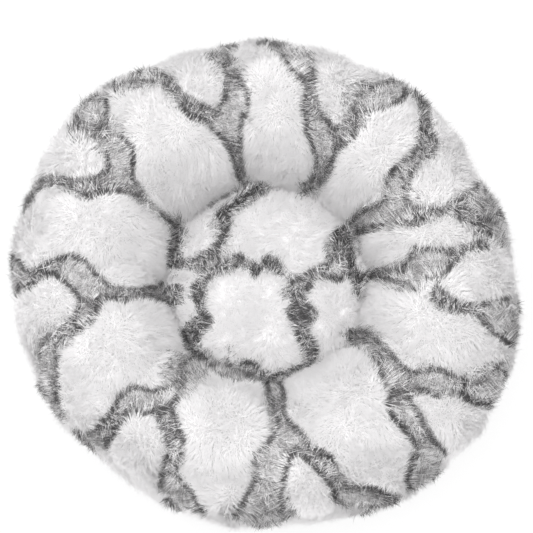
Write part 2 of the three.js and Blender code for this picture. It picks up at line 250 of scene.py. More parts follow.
# Thickness of the dense part of the ring's pile
def rimThickness(angle, turn):
    points, normals = ringPoints(angle, turn), surfaceNormals(ringPoints, angle, turn, 1)
    wellward = (1 - np.cos(turn)) / 2
    above = 1 - np.clip(-np.sin(turn), 0, 1)
    gather = creases["outerGather"] * (1 - wellward) + creases["wellGather"] * wellward
    valley = creases["valley"] * valleyShare(points + normals * pile["full"])
    free = np.clip((ringShape["wellTurn"] - turn) / creases["seamRelease"], 0, 1)
    crease = (gather * gatherShare(angle) + valley) * above * free
    return np.maximum(pile["under"] + pile["wellMore"] * wellWallShare(turn) - crease, pile["thinnest"])


# 1 at the seat's edge, where longer hair fills the crease, and 0 further in
def seatEdge(radius):
    steepness = seatShape["edgeSteepness"]
    return smoothShare(radius / seatShape["radius"] * steepness - (steepness - 1))


def seatThickness(angle, radius):
    return pile["under"] + pile["seatEdgeMore"] * seatEdge(radius)


def rimTop(angle, turn):
    normals = surfaceNormals(ringPoints, angle, turn, 1)
    return ringPoints(angle, turn) + normals * rimThickness(angle, turn)[..., None]


def seatTop(angle, radius):
    normals = surfaceNormals(seatPoints, angle, radius, -1)
    return seatPoints(angle, radius) + normals * seatThickness(angle, radius)[..., None]


# The two fur layers: backing, top of the dense pile, its thickness, and which way their faces turn
rimLayer = {"backing": ringPoints, "top": rimTop, "thickness": rimThickness, "sign": 1}
seatLayer = {"backing": seatPoints, "top": seatTop, "thickness": seatThickness, "sign": -1}


def topNormals(layer, first, second):
    return surfaceNormals(layer["top"], first, second, layer["sign"])


# The surface that loose hair shows, above the top of the dense pile
def seenPoints(layer, first, second):
    return layer["top"](first, second) + topNormals(layer, first, second) * pile["rise"]


# Faces of a grid of points. Its last row joins its first, and in a closed one so do its columns.
def gridFaces(rows, columns, closed=False):
    here = np.arange(rows * columns).reshape(rows, columns)
    if closed:
        here = np.concatenate([here, here[:, :1]], axis=1)
    there = np.roll(here, -1, axis=0)
    return np.stack([here[:, :-1], there[:, :-1], there[:, 1:], here[:, 1:]], -1).reshape(-1, 4)


def seenGrid(layer, firstValues, secondValues):
    first, second = np.meshgrid(firstValues, secondValues, indexing="ij")
    return seenPoints(layer, first, second).reshape(-1, 3), gridFaces(*first.shape)


# Fur surface that a line of sight meets
def makeFurTree():
    angles = np.linspace(0, fullTurn, pile["stations"], endpoint=False)
    turns = np.linspace(ringShape["lowestTurn"], ringShape["wellTurn"], pile["rings"])
    radii = np.linspace(pile["seatMiddle"], seatShape["radius"], pile["seatRings"])
    rimSeen, rimFaces = seenGrid(rimLayer, angles, turns)
    seatSeen, seatFaces = seenGrid(seatLayer, angles, radii)
    points = np.concatenate([rimSeen, seatSeen])
    faces = np.concatenate([rimFaces, seatFaces + len(rimSeen)])
    return BVHTree.FromPolygons([Vector(p) for p in points], faces.tolist())


furTree = makeFurTree()


# Pixel at the bed's middle, and the steps in which a pixel off the bed is brought in towards it
sighting = {"middle": (265, 283), "step": 0.005, "tries": 60}


# The place on the fur that a pixel shows
def furPoint(x, y):
    middleX, middleY = sighting["middle"]
    for pull in range(sighting["tries"]):
        share = 1 - pull * sighting["step"]
        origin, direction = pixelRay(middleX + (x - middleX) * share, middleY + (y - middleY) * share)
        hit = furTree.ray_cast(origin, direction)[0]
        if hit is not None:
            return np.array(hit)
    raise ValueError("no fur at this pixel")


# A smooth line through corners, in equal short steps
def smoothLine(corners, spacing):
    corners = np.array(corners, float)
    ends = [2 * corners[0] - corners[1], *corners, 2 * corners[-1] - corners[-2]]
    shares = np.linspace(0, 1, dye["lineSteps"], endpoint=False)[:, None]
    parts = []
    for before, start, end, after in zip(ends, ends[1:], ends[2:], ends[3:]):
        bend = 2 * before - 5 * start + 4 * end - after
        twist = 3 * start - before - 3 * end + after
        parts.append(0.5 * (2 * start + (end - before) * shares + bend * shares**2 + twist * shares**3))
    line = np.concatenate([*parts, corners[-1:]])
    lengths = np.concatenate([[0], np.cumsum(np.linalg.norm(np.diff(line, axis=0), axis=1))])
    count = max(2, int(lengths[-1] / spacing) + 1)
    wanted = np.linspace(0, lengths[-1], count)
    return np.stack([np.interp(wanted, lengths, line[:, axis]) for axis in range(line.shape[1])], -1)


# Dyed veins in the picture. Each is a pair of dark edges with mixed hair between them.
veins = {
    "upperLeftPatch": (
        [(73, 112), (80, 122), (92, 130)],
        [(105, 95), (106, 106), (108, 120)],
    ),
    "upperLeft": (
        [(68, 127), (88, 131), (100, 140), (105, 150), (108, 165)],
        [(95, 124), (115, 130), (124, 139), (131, 146), (133, 160), (133, 176)],
    ),
    "leftUpper": (
        [(24, 196), (35, 182), (52, 174), (65, 177), (80, 178), (95, 175), (110, 168)],
        [(20, 213), (28, 203), (38, 190), (50, 184), (65, 187), (78, 190), (88, 197), (100, 190), (120, 189)],
    ),
    "leftUpperToWell": (
        [(133, 178), (143, 190), (150, 200), (160, 212), (172, 223)],
        [(120, 189), (135, 196), (148, 205), (165, 218), (178, 228)],
    ),
    "topLeft": (
        [(150, 70), (165, 72), (175, 82), (185, 93), (200, 101), (218, 113)],
        [(110, 87), (130, 82), (145, 81), (158, 82), (168, 90), (178, 103), (190, 116), (205, 121),
         (213, 130)],
    ),
    "topLeftToWell": (
        [(213, 130), (222, 138), (230, 150), (234, 165), (238, 178), (246, 188)],
        [(241, 122), (241, 140), (241, 160), (244, 175), (251, 188)],
    ),
    "top": (
        [(208, 52), (220, 62), (227, 75), (225, 95), (220, 108)],
        [(228, 58), (236, 70), (241, 82), (246, 95), (247, 108), (241, 121)],
    ),
    "topRight": (
        [(268, 40), (283, 55), (292, 68), (303, 80), (305, 95), (303, 110), (304, 122), (308, 137),
         (313, 150), (316, 160), (315, 172), (309, 183)],
        [(285, 45), (300, 52), (310, 55), (315, 68), (316, 85), (317, 100), (322, 112), (328, 122),
         (333, 133), (335, 150), (330, 165), (326, 176), (320, 184)],
    ),
    "rightTop": (
        [(330, 133), (340, 124), (350, 116), (353, 106), (358, 97), (361, 88), (363, 78)],
        [(335, 150), (345, 143), (352, 135), (358, 122), (362, 112), (370, 108)],
    ),
    "rightTopBand": (
        [(363, 80), (372, 84), (383, 82), (395, 78)],
        [(365, 111), (378, 107), (392, 103), (403, 97), (408, 90)],
    ),
    "rightUpper": (
        [(416, 97), (420, 105), (421, 120), (421, 135), (422, 142), (412, 152), (400, 165), (392, 172),
         (385, 180)],
        [(427, 103), (431, 118), (433, 130), (440, 141), (436, 151), (424, 158), (416, 168),
         (410, 178), (404, 190)],
    ),
    "rightUpperToWell": (
        [(382, 190), (383, 200), (375, 207), (362, 212), (350, 222), (340, 226)],
        [(410, 226), (390, 224), (375, 226), (362, 232), (350, 235)],
    ),
    "right": (
        [(405, 200), (418, 205), (440, 207), (450, 202), (460, 197), (470, 190), (478, 187)],
        [(410, 226), (425, 221), (440, 215), (450, 210), (460, 207), (475, 212), (490, 215), (503, 216)],
    ),
    "rightFan": (
        [(460, 218), (475, 225), (486, 230)],
        [(470, 214), (485, 219), (503, 226)],
    ),
    "rightMiddle": (
        [(489, 235), (470, 243), (450, 250), (430, 249), (412, 251), (405, 258)],
        [(489, 248), (470, 250), (454, 262), (445, 271), (437, 281)],
    ),
    "rightMiddleToWell": (
        [(405, 258), (400, 267), (385, 270), (370, 272), (358, 270)],
        [(416, 290), (400, 283), (385, 279), (372, 278), (360, 277)],
    ),
    "rightLower": (
        [(437, 285), (455, 297), (465, 302), (478, 304), (490, 302), (512, 297)],
        [(430, 295), (437, 305), (450, 310), (465, 312), (475, 315), (485, 322), (495, 332),
         (505, 340), (514, 345)],
    ),
    "lowerRightToWell": (
        [(340, 335), (350, 331), (362, 332), (372, 336), (382, 345), (392, 355), (402, 365)],
        [(348, 341), (366, 342), (375, 352), (380, 362), (382, 373), (386, 384)],
    ),
    "lowerRight": (
        [(402, 365), (412, 371), (430, 370), (440, 371), (450, 373), (462, 378), (475, 384), (490, 375),
         (500, 368), (510, 362)],
        [(388, 395), (415, 388), (425, 390), (437, 395), (447, 393), (457, 391), (466, 398),
         (475, 404), (492, 405)],
    ),
    "lowerRightDown": (
        [(388, 398), (390, 412), (397, 422), (405, 430), (412, 440), (417, 450), (414, 462),
         (410, 480), (410, 492)],
        [(412, 392), (414, 404), (420, 412), (427, 425), (433, 437), (440, 447), (449, 457)],
    ),
    "bottomToWell": (
        [(265, 383), (268, 392), (271, 405), (274, 418), (275, 430), (270, 440), (262, 450)],
        [(280, 382), (284, 395), (284, 407), (288, 418), (293, 425), (302, 433), (308, 442)],
    ),
    "bottomLeft": (
        [(262, 450), (254, 460), (257, 472), (250, 490), (238, 514)],
        [(292, 452), (288, 465), (284, 480), (282, 500), (282, 524)],
    ),
    "bottomRight": (
        [(302, 433), (310, 445), (330, 455), (337, 467), (345, 480), (352, 488), (370, 490),
         (385, 495), (402, 500)],
        [(295, 450), (303, 458), (312, 467), (322, 478), (332, 490), (342, 506), (385, 510)],
    ),
    "lowerLeftToWell": (
        [(190, 360), (180, 368), (177, 378), (168, 384), (155, 389), (145, 388), (133, 387), (125, 391),
         (118, 398), (112, 408), (104, 419), (95, 429), (84, 437)],
        [(188, 372), (182, 385), (178, 395), (172, 402), (152, 412), (140, 412), (126, 414), (120, 423),
         (114, 433), (106, 449)],
    ),
    "lowerLeftDown": (
        [(158, 416), (160, 426), (165, 440), (166, 452), (163, 465), (160, 478), (160, 492)],
        [(173, 402), (175, 415), (177, 427), (183, 436), (182, 448), (180, 460), (176, 472), (182, 484),
         (192, 497), (203, 513)],
    ),
    "leftArch": (
        [(12, 258), (28, 270), (40, 262), (52, 259), (62, 257), (70, 255), (82, 260), (92, 268), (102, 278)],
        [(14, 294), (30, 285), (38, 278), (50, 272), (60, 278), (68, 284), (75, 292), (80, 300)],
    ),
    "leftToWell": (
        [(102, 278), (112, 285), (125, 288), (137, 290), (150, 288), (172, 285)],
        [(100, 300), (112, 297), (125, 298), (140, 296), (155, 298), (172, 306)],
    ),
    "leftDown": (
        [(85, 297), (78, 305), (72, 315), (62, 325), (50, 333), (40, 342), (38, 355), (40, 378),
         (44, 390), (48, 404)],
        [(100, 303), (95, 315), (85, 325), (72, 333), (60, 341), (55, 350), (55, 370), (55, 387), (58, 404)],
    ),
    "seatUpper": (
        [(270, 185), (260, 184), (250, 190), (240, 197), (232, 203), (222, 208), (215, 213), (220, 221),
         (221, 230), (220, 238), (213, 244), (205, 251), (197, 256), (185, 259), (172, 258)],
        [(268, 190), (252, 200), (243, 205), (232, 211), (230, 220), (228, 232), (223, 241), (218, 249),
         (211, 257), (204, 263), (195, 267), (172, 268)],
    ),
    # A narrow dark vein along the crease at the seat's upper edge: dye, and painted shadow of the crease
    "seatUpperCreaseDyeAndShade": (
        [(269, 184), (256, 186), (244, 193), (234, 200), (224, 206), (216, 212)],
        [(268, 188), (257, 191), (246, 198), (236, 205), (226, 211), (217, 217)],
    ),
    "seatUpperLeft": (
        [(185, 228), (175, 231), (169, 240), (168, 252)],
        [(188, 232), (180, 236), (176, 244), (176, 254)],
    ),
    "seatLeft": (
        [(205, 270), (200, 278), (192, 287), (191, 295), (197, 303), (200, 312), (193, 320), (186, 328),
         (181, 335), (183, 343), (187, 350), (198, 362)],
        [(212, 275), (205, 285), (203, 300), (205, 311), (212, 320), (203, 326), (198, 333), (197, 343),
         (200, 352), (206, 360)],
    ),
    "seatMiddleLeft": (
        [(213, 263), (222, 258), (232, 255), (240, 253), (246, 259), (262, 262), (270, 255), (285, 267)],
        [(215, 273), (228, 270), (243, 265), (250, 270), (255, 275), (265, 268), (283, 275)],
    ),
    "seatMiddleRight": (
        [(290, 282), (305, 273), (315, 268), (325, 263), (333, 255), (335, 245), (333, 235),
         (340, 228), (347, 225)],
        [(297, 300), (308, 290), (313, 283), (320, 278), (343, 279), (350, 270), (347, 250), (348, 235)],
    ),
    "seatRight": (
        [(345, 240), (347, 250), (347, 262), (351, 273), (355, 282), (355, 297)],
        [(352, 240), (353, 250), (354, 262), (357, 273), (360, 284), (360, 299)],
    ),
    "seatLowerMiddle": (
        [(290, 290), (293, 300), (288, 312), (294, 325), (298, 337), (303, 348), (304, 358), (300, 369)],
        [(300, 290), (305, 300), (318, 314), (308, 326), (312, 337), (318, 348), (316, 358), (310, 368)],
    ),
    "seatLowerKnot": (
        [(295, 298), (299, 308), (302, 318)],
        [(302, 296), (308, 306), (308, 317)],
    ),
    "seatLower": (
        [(205, 360), (225, 368), (240, 362), (255, 364), (262, 374), (285, 371), (299, 366)],
        [(210, 368), (226, 375), (240, 379), (255, 382), (270, 381), (287, 378), (302, 373)],
    ),
}

# Where veins meet, the dye spreads: pixel, radius in pixels
veinKnots = [
    (120, 178, 13), (232, 119, 14), (322, 141, 11), (402, 202, 17), (424, 271, 17), (400, 386, 14),
    (288, 440, 13), (158, 401, 14), (91, 300, 13), (307, 188, 7), (163, 299, 8), (247, 371, 9),
]

# Creases where shade falls: painted shade, as the darkest vein hair
creaseShadeLines = [
    [(268, 185), (257, 188), (245, 195), (235, 202), (225, 208), (216, 213)],
    [(183, 330), (186, 342), (191, 352), (199, 361), (212, 366)],
    [(236, 375), (250, 378), (264, 379), (280, 374)],
    [(352, 283), (356, 292), (352, 303)],
]

# Veins down the wall that the picture doesn't show: angle in degrees at the widest part, lean
wallVeins = [
    (15, -4), (-8, 5), (-24, -3), (-50, 4), (-66, -5), (-92, 3), (-111, -4), (-140, 5), (-153, -3),
    (176, 4), (162, -4), (134, 5), (123, -2), (98, 4), (91, -6), (56, 3), (49, 8),
]

# How the dye lies on the fur. The wall's sway is a share of each vein's lean, down the wall.
dye = {
    "spacing": 1.5 * mm,
    "lineSteps": 12,
    "range": 12 * mm,
    "mapEnd": 0.02,
    "slip": 1.6 * mm,
    "stepFree": 12 * mm,
    "wallHalfWidth": 5.5 * mm,
    "wallStart": 0.28,
    "wallStartTilt": 0.25,
    "wallSwayShares": (0, 0.3, 0.6, 0.2, 1.0, 1.5),
    "creaseShadeReach": 5 * mm,
}


# A vein's middle down the outer wall. At the back it starts higher, where the picture's veins end.
def wallLine(degrees, lean):
    start = dye["wallStart"] + dye["wallStartTilt"] * math.sin(math.radians(degrees))
    sway = np.array(dye["wallSwayShares"])
    turns = np.linspace(start, ringShape["lowestTurn"], len(sway))
    return smoothLine(seenPoints(rimLayer, np.radians(degrees + lean * sway), turns), dye["spacing"])


def furLine(pixels):
    return smoothLine([furPoint(x, y) for x, y in pixels], dye["spacing"])


# Points along the veins' edges, points inside the veins, and the veins' half width at those
def makeDyePoints():
    edges, fills, halves = [], [], []
    for left, right in veins.values():
        lines = [furLine(left), furLine(right)]
        edges += [*lines[0], *lines[1]]
        shares = np.linspace(0, 1, max(len(line) for line in lines))
        leftEven, rightEven = [line[np.round(shares * (len(line) - 1)).astype(int)] for line in lines]
        fills += [*((leftEven + rightEven) / 2)]
        halves += [*(np.linalg.norm(leftEven - rightEven, axis=1) / 2)]
    for x, y, radius in veinKnots:
        fills.append(furPoint(x, y))
        halves.append(radius * mm)
    for degrees, lean in wallVeins:
        middle = wallLine(degrees, lean)
        fills += [*middle]
        halves += [dye["wallHalfWidth"]] * len(middle)
        aside = unit(np.cross(middle, (0, 0, 1))) * dye["wallHalfWidth"]
        edges += [*(middle + aside), *(middle - aside)]
    return np.array(edges), np.array(fills), np.array(halves)


def makeTree(points):
    tree = KDTree(len(points))
    for index, point in enumerate(points):
        tree.insert(point, index)
    tree.balance()
    return tree


edgePoints, fillPoints, fillHalves = makeDyePoints()
edgeTree, fillTree = makeTree(edgePoints), makeTree(fillPoints)
# Painted shade: points along the creases, near which vein hair is painted darker
creaseShadeTree = makeTree(np.concatenate([furLine(line) for line in creaseShadeLines]))
print("veins laid on the fur:", len(veins))


# The hair leans away from the crowns of the ring's puffs, and of the seat's, given as pixels
seatCrowns = [(285, 225), (250, 315), (333, 300), (205, 224)]
rimLayer["crowns"] = rimCrowns
seatLayer["crowns"] = np.array([furPoint(x, y) for x, y in seatCrowns])


# Which point of a tree is nearest to each place, and how far away it is
def nearest(tree, places):
    return np.array([tree.find(place)[1] for place in places.tolist()])


def reachTo(tree, places):
    return np.array([tree.find(place)[2] for place in places.tolist()])


# Distance from each place to a point, measured along the surface. Only a large step up or down counts.
def alongSurface(places, targets, normals):
    away = places - targets
    upwards = (away * normals).sum(1, keepdims=True)
    away = away - upwards * normals
    step = np.clip(np.abs(upwards) - dye["stepFree"], 0, None)
    return np.linalg.norm(np.concatenate([away, 2 * step], 1), axis=1)


# Smooth noise from a few crossing waves, alike every time for the same seed
def waveNoise(points, wavelength, random, waves=7):
    headings = unit(random.normal(size=(waves, 3)))
    rates = fullTurn / (wavelength * random.uniform(0.7, 1.5, waves))
    phases = random.uniform(0, fullTurn, waves)
    return np.sin(points @ (headings * rates[:, None]).T + phases).sum(1) / math.sqrt(waves / 2)


def waveField(points, wavelength, random):
    return np.stack([waveNoise(points, wavelength, random) for axis in range(3)], -1)


# The loose hair: where it roots, how long and how untidy it is, and how it changes at a vein
fur = {
    "seed": 20,
    "sectors": 12,
    "rootSpacing": 0.93 * mm,
    "seatSpacing": 0.95 * mm,
    "seatMiddle": 0.3 * mm,
    "rowTurn": 0.37,
    "probes": 400,
    "probeAngle": 0.3,
    "length": 15 * mm,
    "lengthSpread": 0.18,
    "spreadLimit": 2,
    "lean": math.radians(63),
    "leanSpread": 0.11,
    "strayShare": 0.4,
    "crownStrays": 1.5,
    "crownLean": 0.3,
    "wellEdge": 0.5,
    "edgeLonger": 0.3,
    "edgeRise": 0.2,
    "sunk": 2 * mm,
    "leastPile": 3 * mm,
    "width": 0.8 * mm,
    "widthSpread": 0.25,
    "coarseRise": 1.6,
    "coarseFrom": 0.5,
    "coarseOrder": 0.6,
    "veinLonger": 0.3,
    "veinWider": 1.0,
    "veinDepth": 4 * mm,
    "veinReach": 10 * mm,
    "veinShoulder": 3 * mm,
    "combShare": 0.65,
    "combReach": 9 * mm,
    "combMiddle": 2 * mm,
    "floorGap": 3 * mm,
    "zipClearance": 31 * mm,
    "liftOut": 0.5,
}

# Clumps: how close they stand, how far their strands draw together, and how shades are shared in them
clumps = {
    "spacing": 2.6 * mm,
    "pull": 0.45,
    "pullSpread": (0.3, 1.3),
    "coreShare": 0.3,
    "shades": (0.1, 0.98),
    "shadeShare": 0.7,
    "ownShades": (0.02, 0.3),
}

# Which way the hair leans: away from the crowns nearby, down the outer wall, and swayed a little
leaning = {
    "warp": 6 * mm,
    "warpLength": 32 * mm,
    "crownBlend": 7 * mm,
    "crownRange": 42 * mm,
    "crownPower": 1.3,
    "wallRadius": 190 * mm,
    "wallTop": 100 * mm,
    "wallFade": 70 * mm,
    "wallDown": 0.9,
    "outwardsFrom": 100 * mm,
    "outwards": 0.2,
    "sway": 0.32,
    "swayLength": 45 * mm,
    "ripple": 0.2,
    "rippleLength": 13 * mm,
}

# Painted light and shade: whites painted a touch duller where the most light falls and lighter low down where
# little falls, and vein hair painted darker in the creases
paintedLightAndShade = {
    "edgeFade": 3 * mm,
    "highFrom": 80 * mm,
    "highFade": 80 * mm,
    "highPaintedShade": 0.35,
    "crownReach": 15 * mm,
    "crownPaintedShade": 0.25,
    "mostPaintedShade": 0.6,
    "lowPaintedLight": 0.5,
    "lowest": 0.08,
    "creaseShadeDarkest": 0.98,
    "creaseShadeShare": 0.85,
}


# Window in the skirt over the zip, at the back, where the fur's hem is a little higher too
zipWindow = {"halfAngle": 1.10, "fade": 0.06, "hemRise": 0.062, "hemFade": 0.14}


def windowShare(angle):
    away = np.abs((angle % fullTurn) - math.pi / 2)
    return np.clip((zipWindow["halfAngle"] - away) / zipWindow["fade"], 0, 1)


def aboveZip(angle, turn):
    low = np.clip(1 - (turn - ringShape["lowestTurn"]) / zipWindow["hemFade"], 0, 1)
    return turn + zipWindow["hemRise"] * low * windowShare(angle)


# Angles of one row of roots round the bed
def rowAngles(row, count, random):
    return (np.arange(count) + random.uniform(-0.5, 0.5, count) + row * fur["rowTurn"]) * fullTurn / count


# Roots over the ring's backing, in rows
def ringRoots(random):
    spacing, probeAngle = fur["rootSpacing"], fur["probeAngle"]
    probes = np.linspace(ringShape["lowestTurn"], ringShape["wellTurn"], fur["probes"])
    section = ringPoints(np.zeros_like(probes) + probeAngle, probes)
    lengths = np.concatenate([[0], np.cumsum(np.linalg.norm(np.diff(section, axis=0), axis=1))])
    angles, turns = [], []
    for row in range(int(lengths[-1] / spacing)):
        turn = np.interp((row + 0.5) * spacing, lengths, probes)
        radius = np.linalg.norm(ringPoints(np.array([probeAngle]), np.array([turn]))[0][:2])
        count = int(fullTurn * radius / spacing)
        angles.append(rowAngles(row, count, random))
        at = (row + 0.5 + random.uniform(-0.5, 0.5, count)) * spacing
        turns.append(np.interp(at, lengths, probes))
    angles, turns = np.concatenate(angles), np.concatenate(turns)
    return angles, aboveZip(angles, turns)


def seatRoots(random):
    spacing = fur["seatSpacing"]
    angles, radii = [], []
    for row in range(int(seatShape["radius"] / spacing)):
        radius = (row + 0.5) * spacing
        count = max(5, int(fullTurn * radius / spacing))
        angles.append(rowAngles(row, count, random))
        radii.append(np.clip(radius + random.uniform(-0.5, 0.5, count) * spacing, fur["seatMiddle"], None))
    return np.concatenate(angles), np.concatenate(radii)


# The way the hair leans at each place
def leanDirections(places, normals, crowns, random):
    warp = waveField(places, leaning["warpLength"], random)
    away = (places + leaning["warp"] * warp)[:, None, :] - crowns[None, :, :]
    distance = np.linalg.norm(away, axis=2)
    weight = np.exp(-(distance - distance.min(1, keepdims=True)) / leaning["crownBlend"])
    share = np.clip(distance / leaning["crownRange"], 0, 1) ** leaning["crownPower"]
    away = away / np.maximum(distance, 1e-6)[..., None] * (share * weight)[..., None]
    lean = away.sum(1) / weight.sum(1, keepdims=True)
    outside = np.linalg.norm(places[:, :2], axis=1)
    wall = np.clip((leaning["wallTop"] - places[:, 2]) / leaning["wallFade"], 0, 1)
    lean[:, 2] -= leaning["wallDown"] * (wall * (outside > leaning["wallRadius"]))
    outwards = unit(places * (1, 1, 0)) * (outside > leaning["outwardsFrom"])[:, None]
    lean += leaning["outwards"] * outwards
    sway = waveField(places, leaning["swayLength"], random)
    ripple = waveField(places, leaning["rippleLength"], random)
    lean += leaning["sway"] * sway + leaning["ripple"] * ripple
    lean = combAcross(lean, places, normals)
    lean -= (lean * normals).sum(1, keepdims=True) * normals
    return lean


# At a vein the hair lies across it, from both sides towards its middle
def combAcross(lean, places, normals):
    fill = nearest(fillTree, places)
    inwards = fillPoints[fill] - places
    inwards -= (inwards * normals).sum(1, keepdims=True) * normals
    distance = np.linalg.norm(inwards, axis=1)
    beyond = np.clip(distance - fillHalves[fill], 0, None)
    share = fur["combShare"] * np.exp(-((beyond / fur["combReach"]) ** 2))
    share = share * np.clip(distance / fur["combMiddle"], 0, 1)
    return lean * (1 - share)[:, None] + unit(inwards) * share[:, None]


# How far each place lies outside the edge of the nearest vein. Less than 0 is inside the vein.
def veinDistance(places, normals):
    edgeAway = alongSurface(places, edgePoints[nearest(edgeTree, places)], normals)
    fill = nearest(fillTree, places)
    inside = alongSurface(places, fillPoints[fill], normals) < fillHalves[fill]
    return np.where(inside, -edgeAway, edgeAway)


# Where each place lies on the fur's map: from inside a vein, over its edge in the middle, to white
def dyeAcross(places, normals):
    across = 0.5 + veinDistance(places, normals) / (2 * dye["range"])
    return np.clip(across, dye["mapEnd"], 1 - dye["mapEnd"])


# How far the pile sinks at a vein, where it is thick enough
def veinSink(layer, first, second, places):
    fill = nearest(fillTree, places)
    outside = np.linalg.norm(places - fillPoints[fill], axis=1) - fillHalves[fill]
    outside = np.clip(outside + fur["veinShoulder"], 0, None)
    sink = fur["veinDepth"] * np.exp(-((outside / fur["veinReach"]) ** 2))
    return np.minimum(sink, layer["thickness"](first, second) - fur["leastPile"])


# Painted light and shade: whites painted duller on the crowns and high up, painted lighter low down, and vein
# hair painted darker in the creases as painted shade
def paintLightAndShade(shade, places, across, crowns):
    plain = smoothShare((across[:, 0] - 0.5) * 2 * dye["range"] / paintedLightAndShade["edgeFade"] - 1)
    crownAway = np.linalg.norm(places[:, None] - crowns[None], axis=2).min(1)
    crown = np.exp(-((crownAway / paintedLightAndShade["crownReach"]) ** 2))
    high = smoothShare((places[:, 2] - paintedLightAndShade["highFrom"]) / paintedLightAndShade["highFade"])
    # Painted shade on the crowns and high up, where the most light falls, and painted light low down
    paintedShade = np.clip(paintedLightAndShade["highPaintedShade"] * high + paintedLightAndShade["crownPaintedShade"] * crown, 0, paintedLightAndShade["mostPaintedShade"])
    shade = shade * (1 - plain * paintedShade)
    shade = np.clip(shade + (1 - shade) * paintedLightAndShade["lowPaintedLight"] * (1 - high) * plain, paintedLightAndShade["lowest"], None)
    # Painted shade: vein hair near the creases is painted darker
    creaseShade = np.exp(-((reachTo(creaseShadeTree, places) / dye["creaseShadeReach"]) ** 2))
    return shade + (paintedLightAndShade["creaseShadeDarkest"] - shade) * paintedLightAndShade["creaseShadeShare"] * creaseShade * (1 - plain)


# Strands of hair: where each starts and ends, and how it is dyed there, with painted light and shade
def growStrands(layer, first, second, edge, random):
    tops, normals = layer["top"](first, second), topNormals(layer, first, second)
    seen = tops + normals * pile["rise"]
    sink = veinSink(layer, first, second, seen)
    roots = tops - normals * (fur["sunk"] + sink)[:, None]
    coarse = np.clip(sink / fur["veinDepth"] * fur["coarseRise"] - fur["coarseFrom"], 0, 1)
    lean = leanDirections(seen, normals, layer["crowns"], random)
    count = len(roots)
    strength = np.clip(np.linalg.norm(lean, axis=1), 0, 1)
    loose = (1 - fur["coarseOrder"] * coarse) * (1 + fur["crownStrays"] * (1 - strength))
    stray = random.normal(0, fur["strayShare"], lean.shape) * loose[:, None]
    stray -= (stray * normals).sum(1, keepdims=True) * normals
    heading = unit(lean + stray)
    uneven = random.normal(size=count).clip(-fur["spreadLimit"], fur["spreadLimit"])
    length = fur["length"] * (1 + fur["lengthSpread"] * uneven)
    length = length * (1 + fur["edgeLonger"] * edge + fur["veinLonger"] * coarse)
    angle = fur["lean"] * (1 - fur["crownLean"] * (1 - strength))
    angle = (angle + random.normal(0, fur["leanSpread"], count)) * (1 - fur["edgeRise"] * edge)
    course = normals * np.cos(angle)[:, None] + heading * np.sin(angle)[:, None]
    tips, shade = pullClumps(roots, roots + course * length[:, None], random)
    keepClear(roots, tips)
    slip = heading * random.normal(0, dye["slip"], count)[:, None]
    across = np.stack([dyeAcross(part + slip, normals) for part in (roots, tips)], 1)
    # Painted light and shade over the strands' dyed shades
    shade = paintLightAndShade(shade, seen, across, layer["crowns"])
    thicker = random.uniform(1 - fur["widthSpread"], 1 + fur["widthSpread"], count)
    width = fur["width"] * (1 + fur["veinWider"] * coarse) * thicker
    return roots, tips, normals, across, shade, width


# Hair neither reaches the floor nor hangs over the zip
def keepClear(roots, tips):
    outside = np.linalg.norm(roots[:, :2], axis=1) > ringShape["centreRadius"]
    window = windowShare(np.arctan2(roots[:, 1], roots[:, 0])) * outside
    lowest = fur["floorGap"] + (fur["zipClearance"] - fur["floorGap"]) * window
    lift = np.maximum(lowest - tips[:, 2], 0)
    tips[:, 2] += lift
    tips += unit(roots * (1, 1, 0)) * (lift * fur["liftOut"])[:, None]


# Neighbouring strands draw together towards their tips
def pullClumps(roots, tips, random):
    count = len(roots)
    leaders = np.flatnonzero(random.random(count) < (fur["rootSpacing"] / clumps["spacing"]) ** 2)
    mine = leaders[nearest(makeTree(roots[leaders]), roots)]
    pull = (clumps["pull"] * random.uniform(*clumps["pullSpread"], count))[:, None]
    tips = tips + (tips[mine] + (roots - roots[mine]) * clumps["coreShare"] - tips) * pull
    shared = random.uniform(*clumps["shades"], count)[mine] * clumps["shadeShare"]
    return tips, shared + random.uniform(*clumps["ownShades"], count)


# A fur mesh's own map, for its colour: across is the place over a vein, and up the strand's shade
def layMap(mesh, across, shade):
    layer = mesh.uv_layers.new(name="OFBake")
    layer.data.foreach_set("uv", np.stack([across, shade], -1).astype(np.float32).ravel())


def smoothFaces(mesh):
    mesh.polygons.foreach_set("use_smooth", np.ones(len(mesh.polygons), bool))


# One strand is a closed three-sided cone: its faces, and how far apart its corners lie on the map
strand = {
    "corners": (0, 2, 1, 0, 1, 3, 1, 2, 3, 2, 0, 3),
    "mapSteps": (-0.004, 0, 0.004, 0.001),
    "mapAcross": 0.5,
    "twist": 0.3,
}


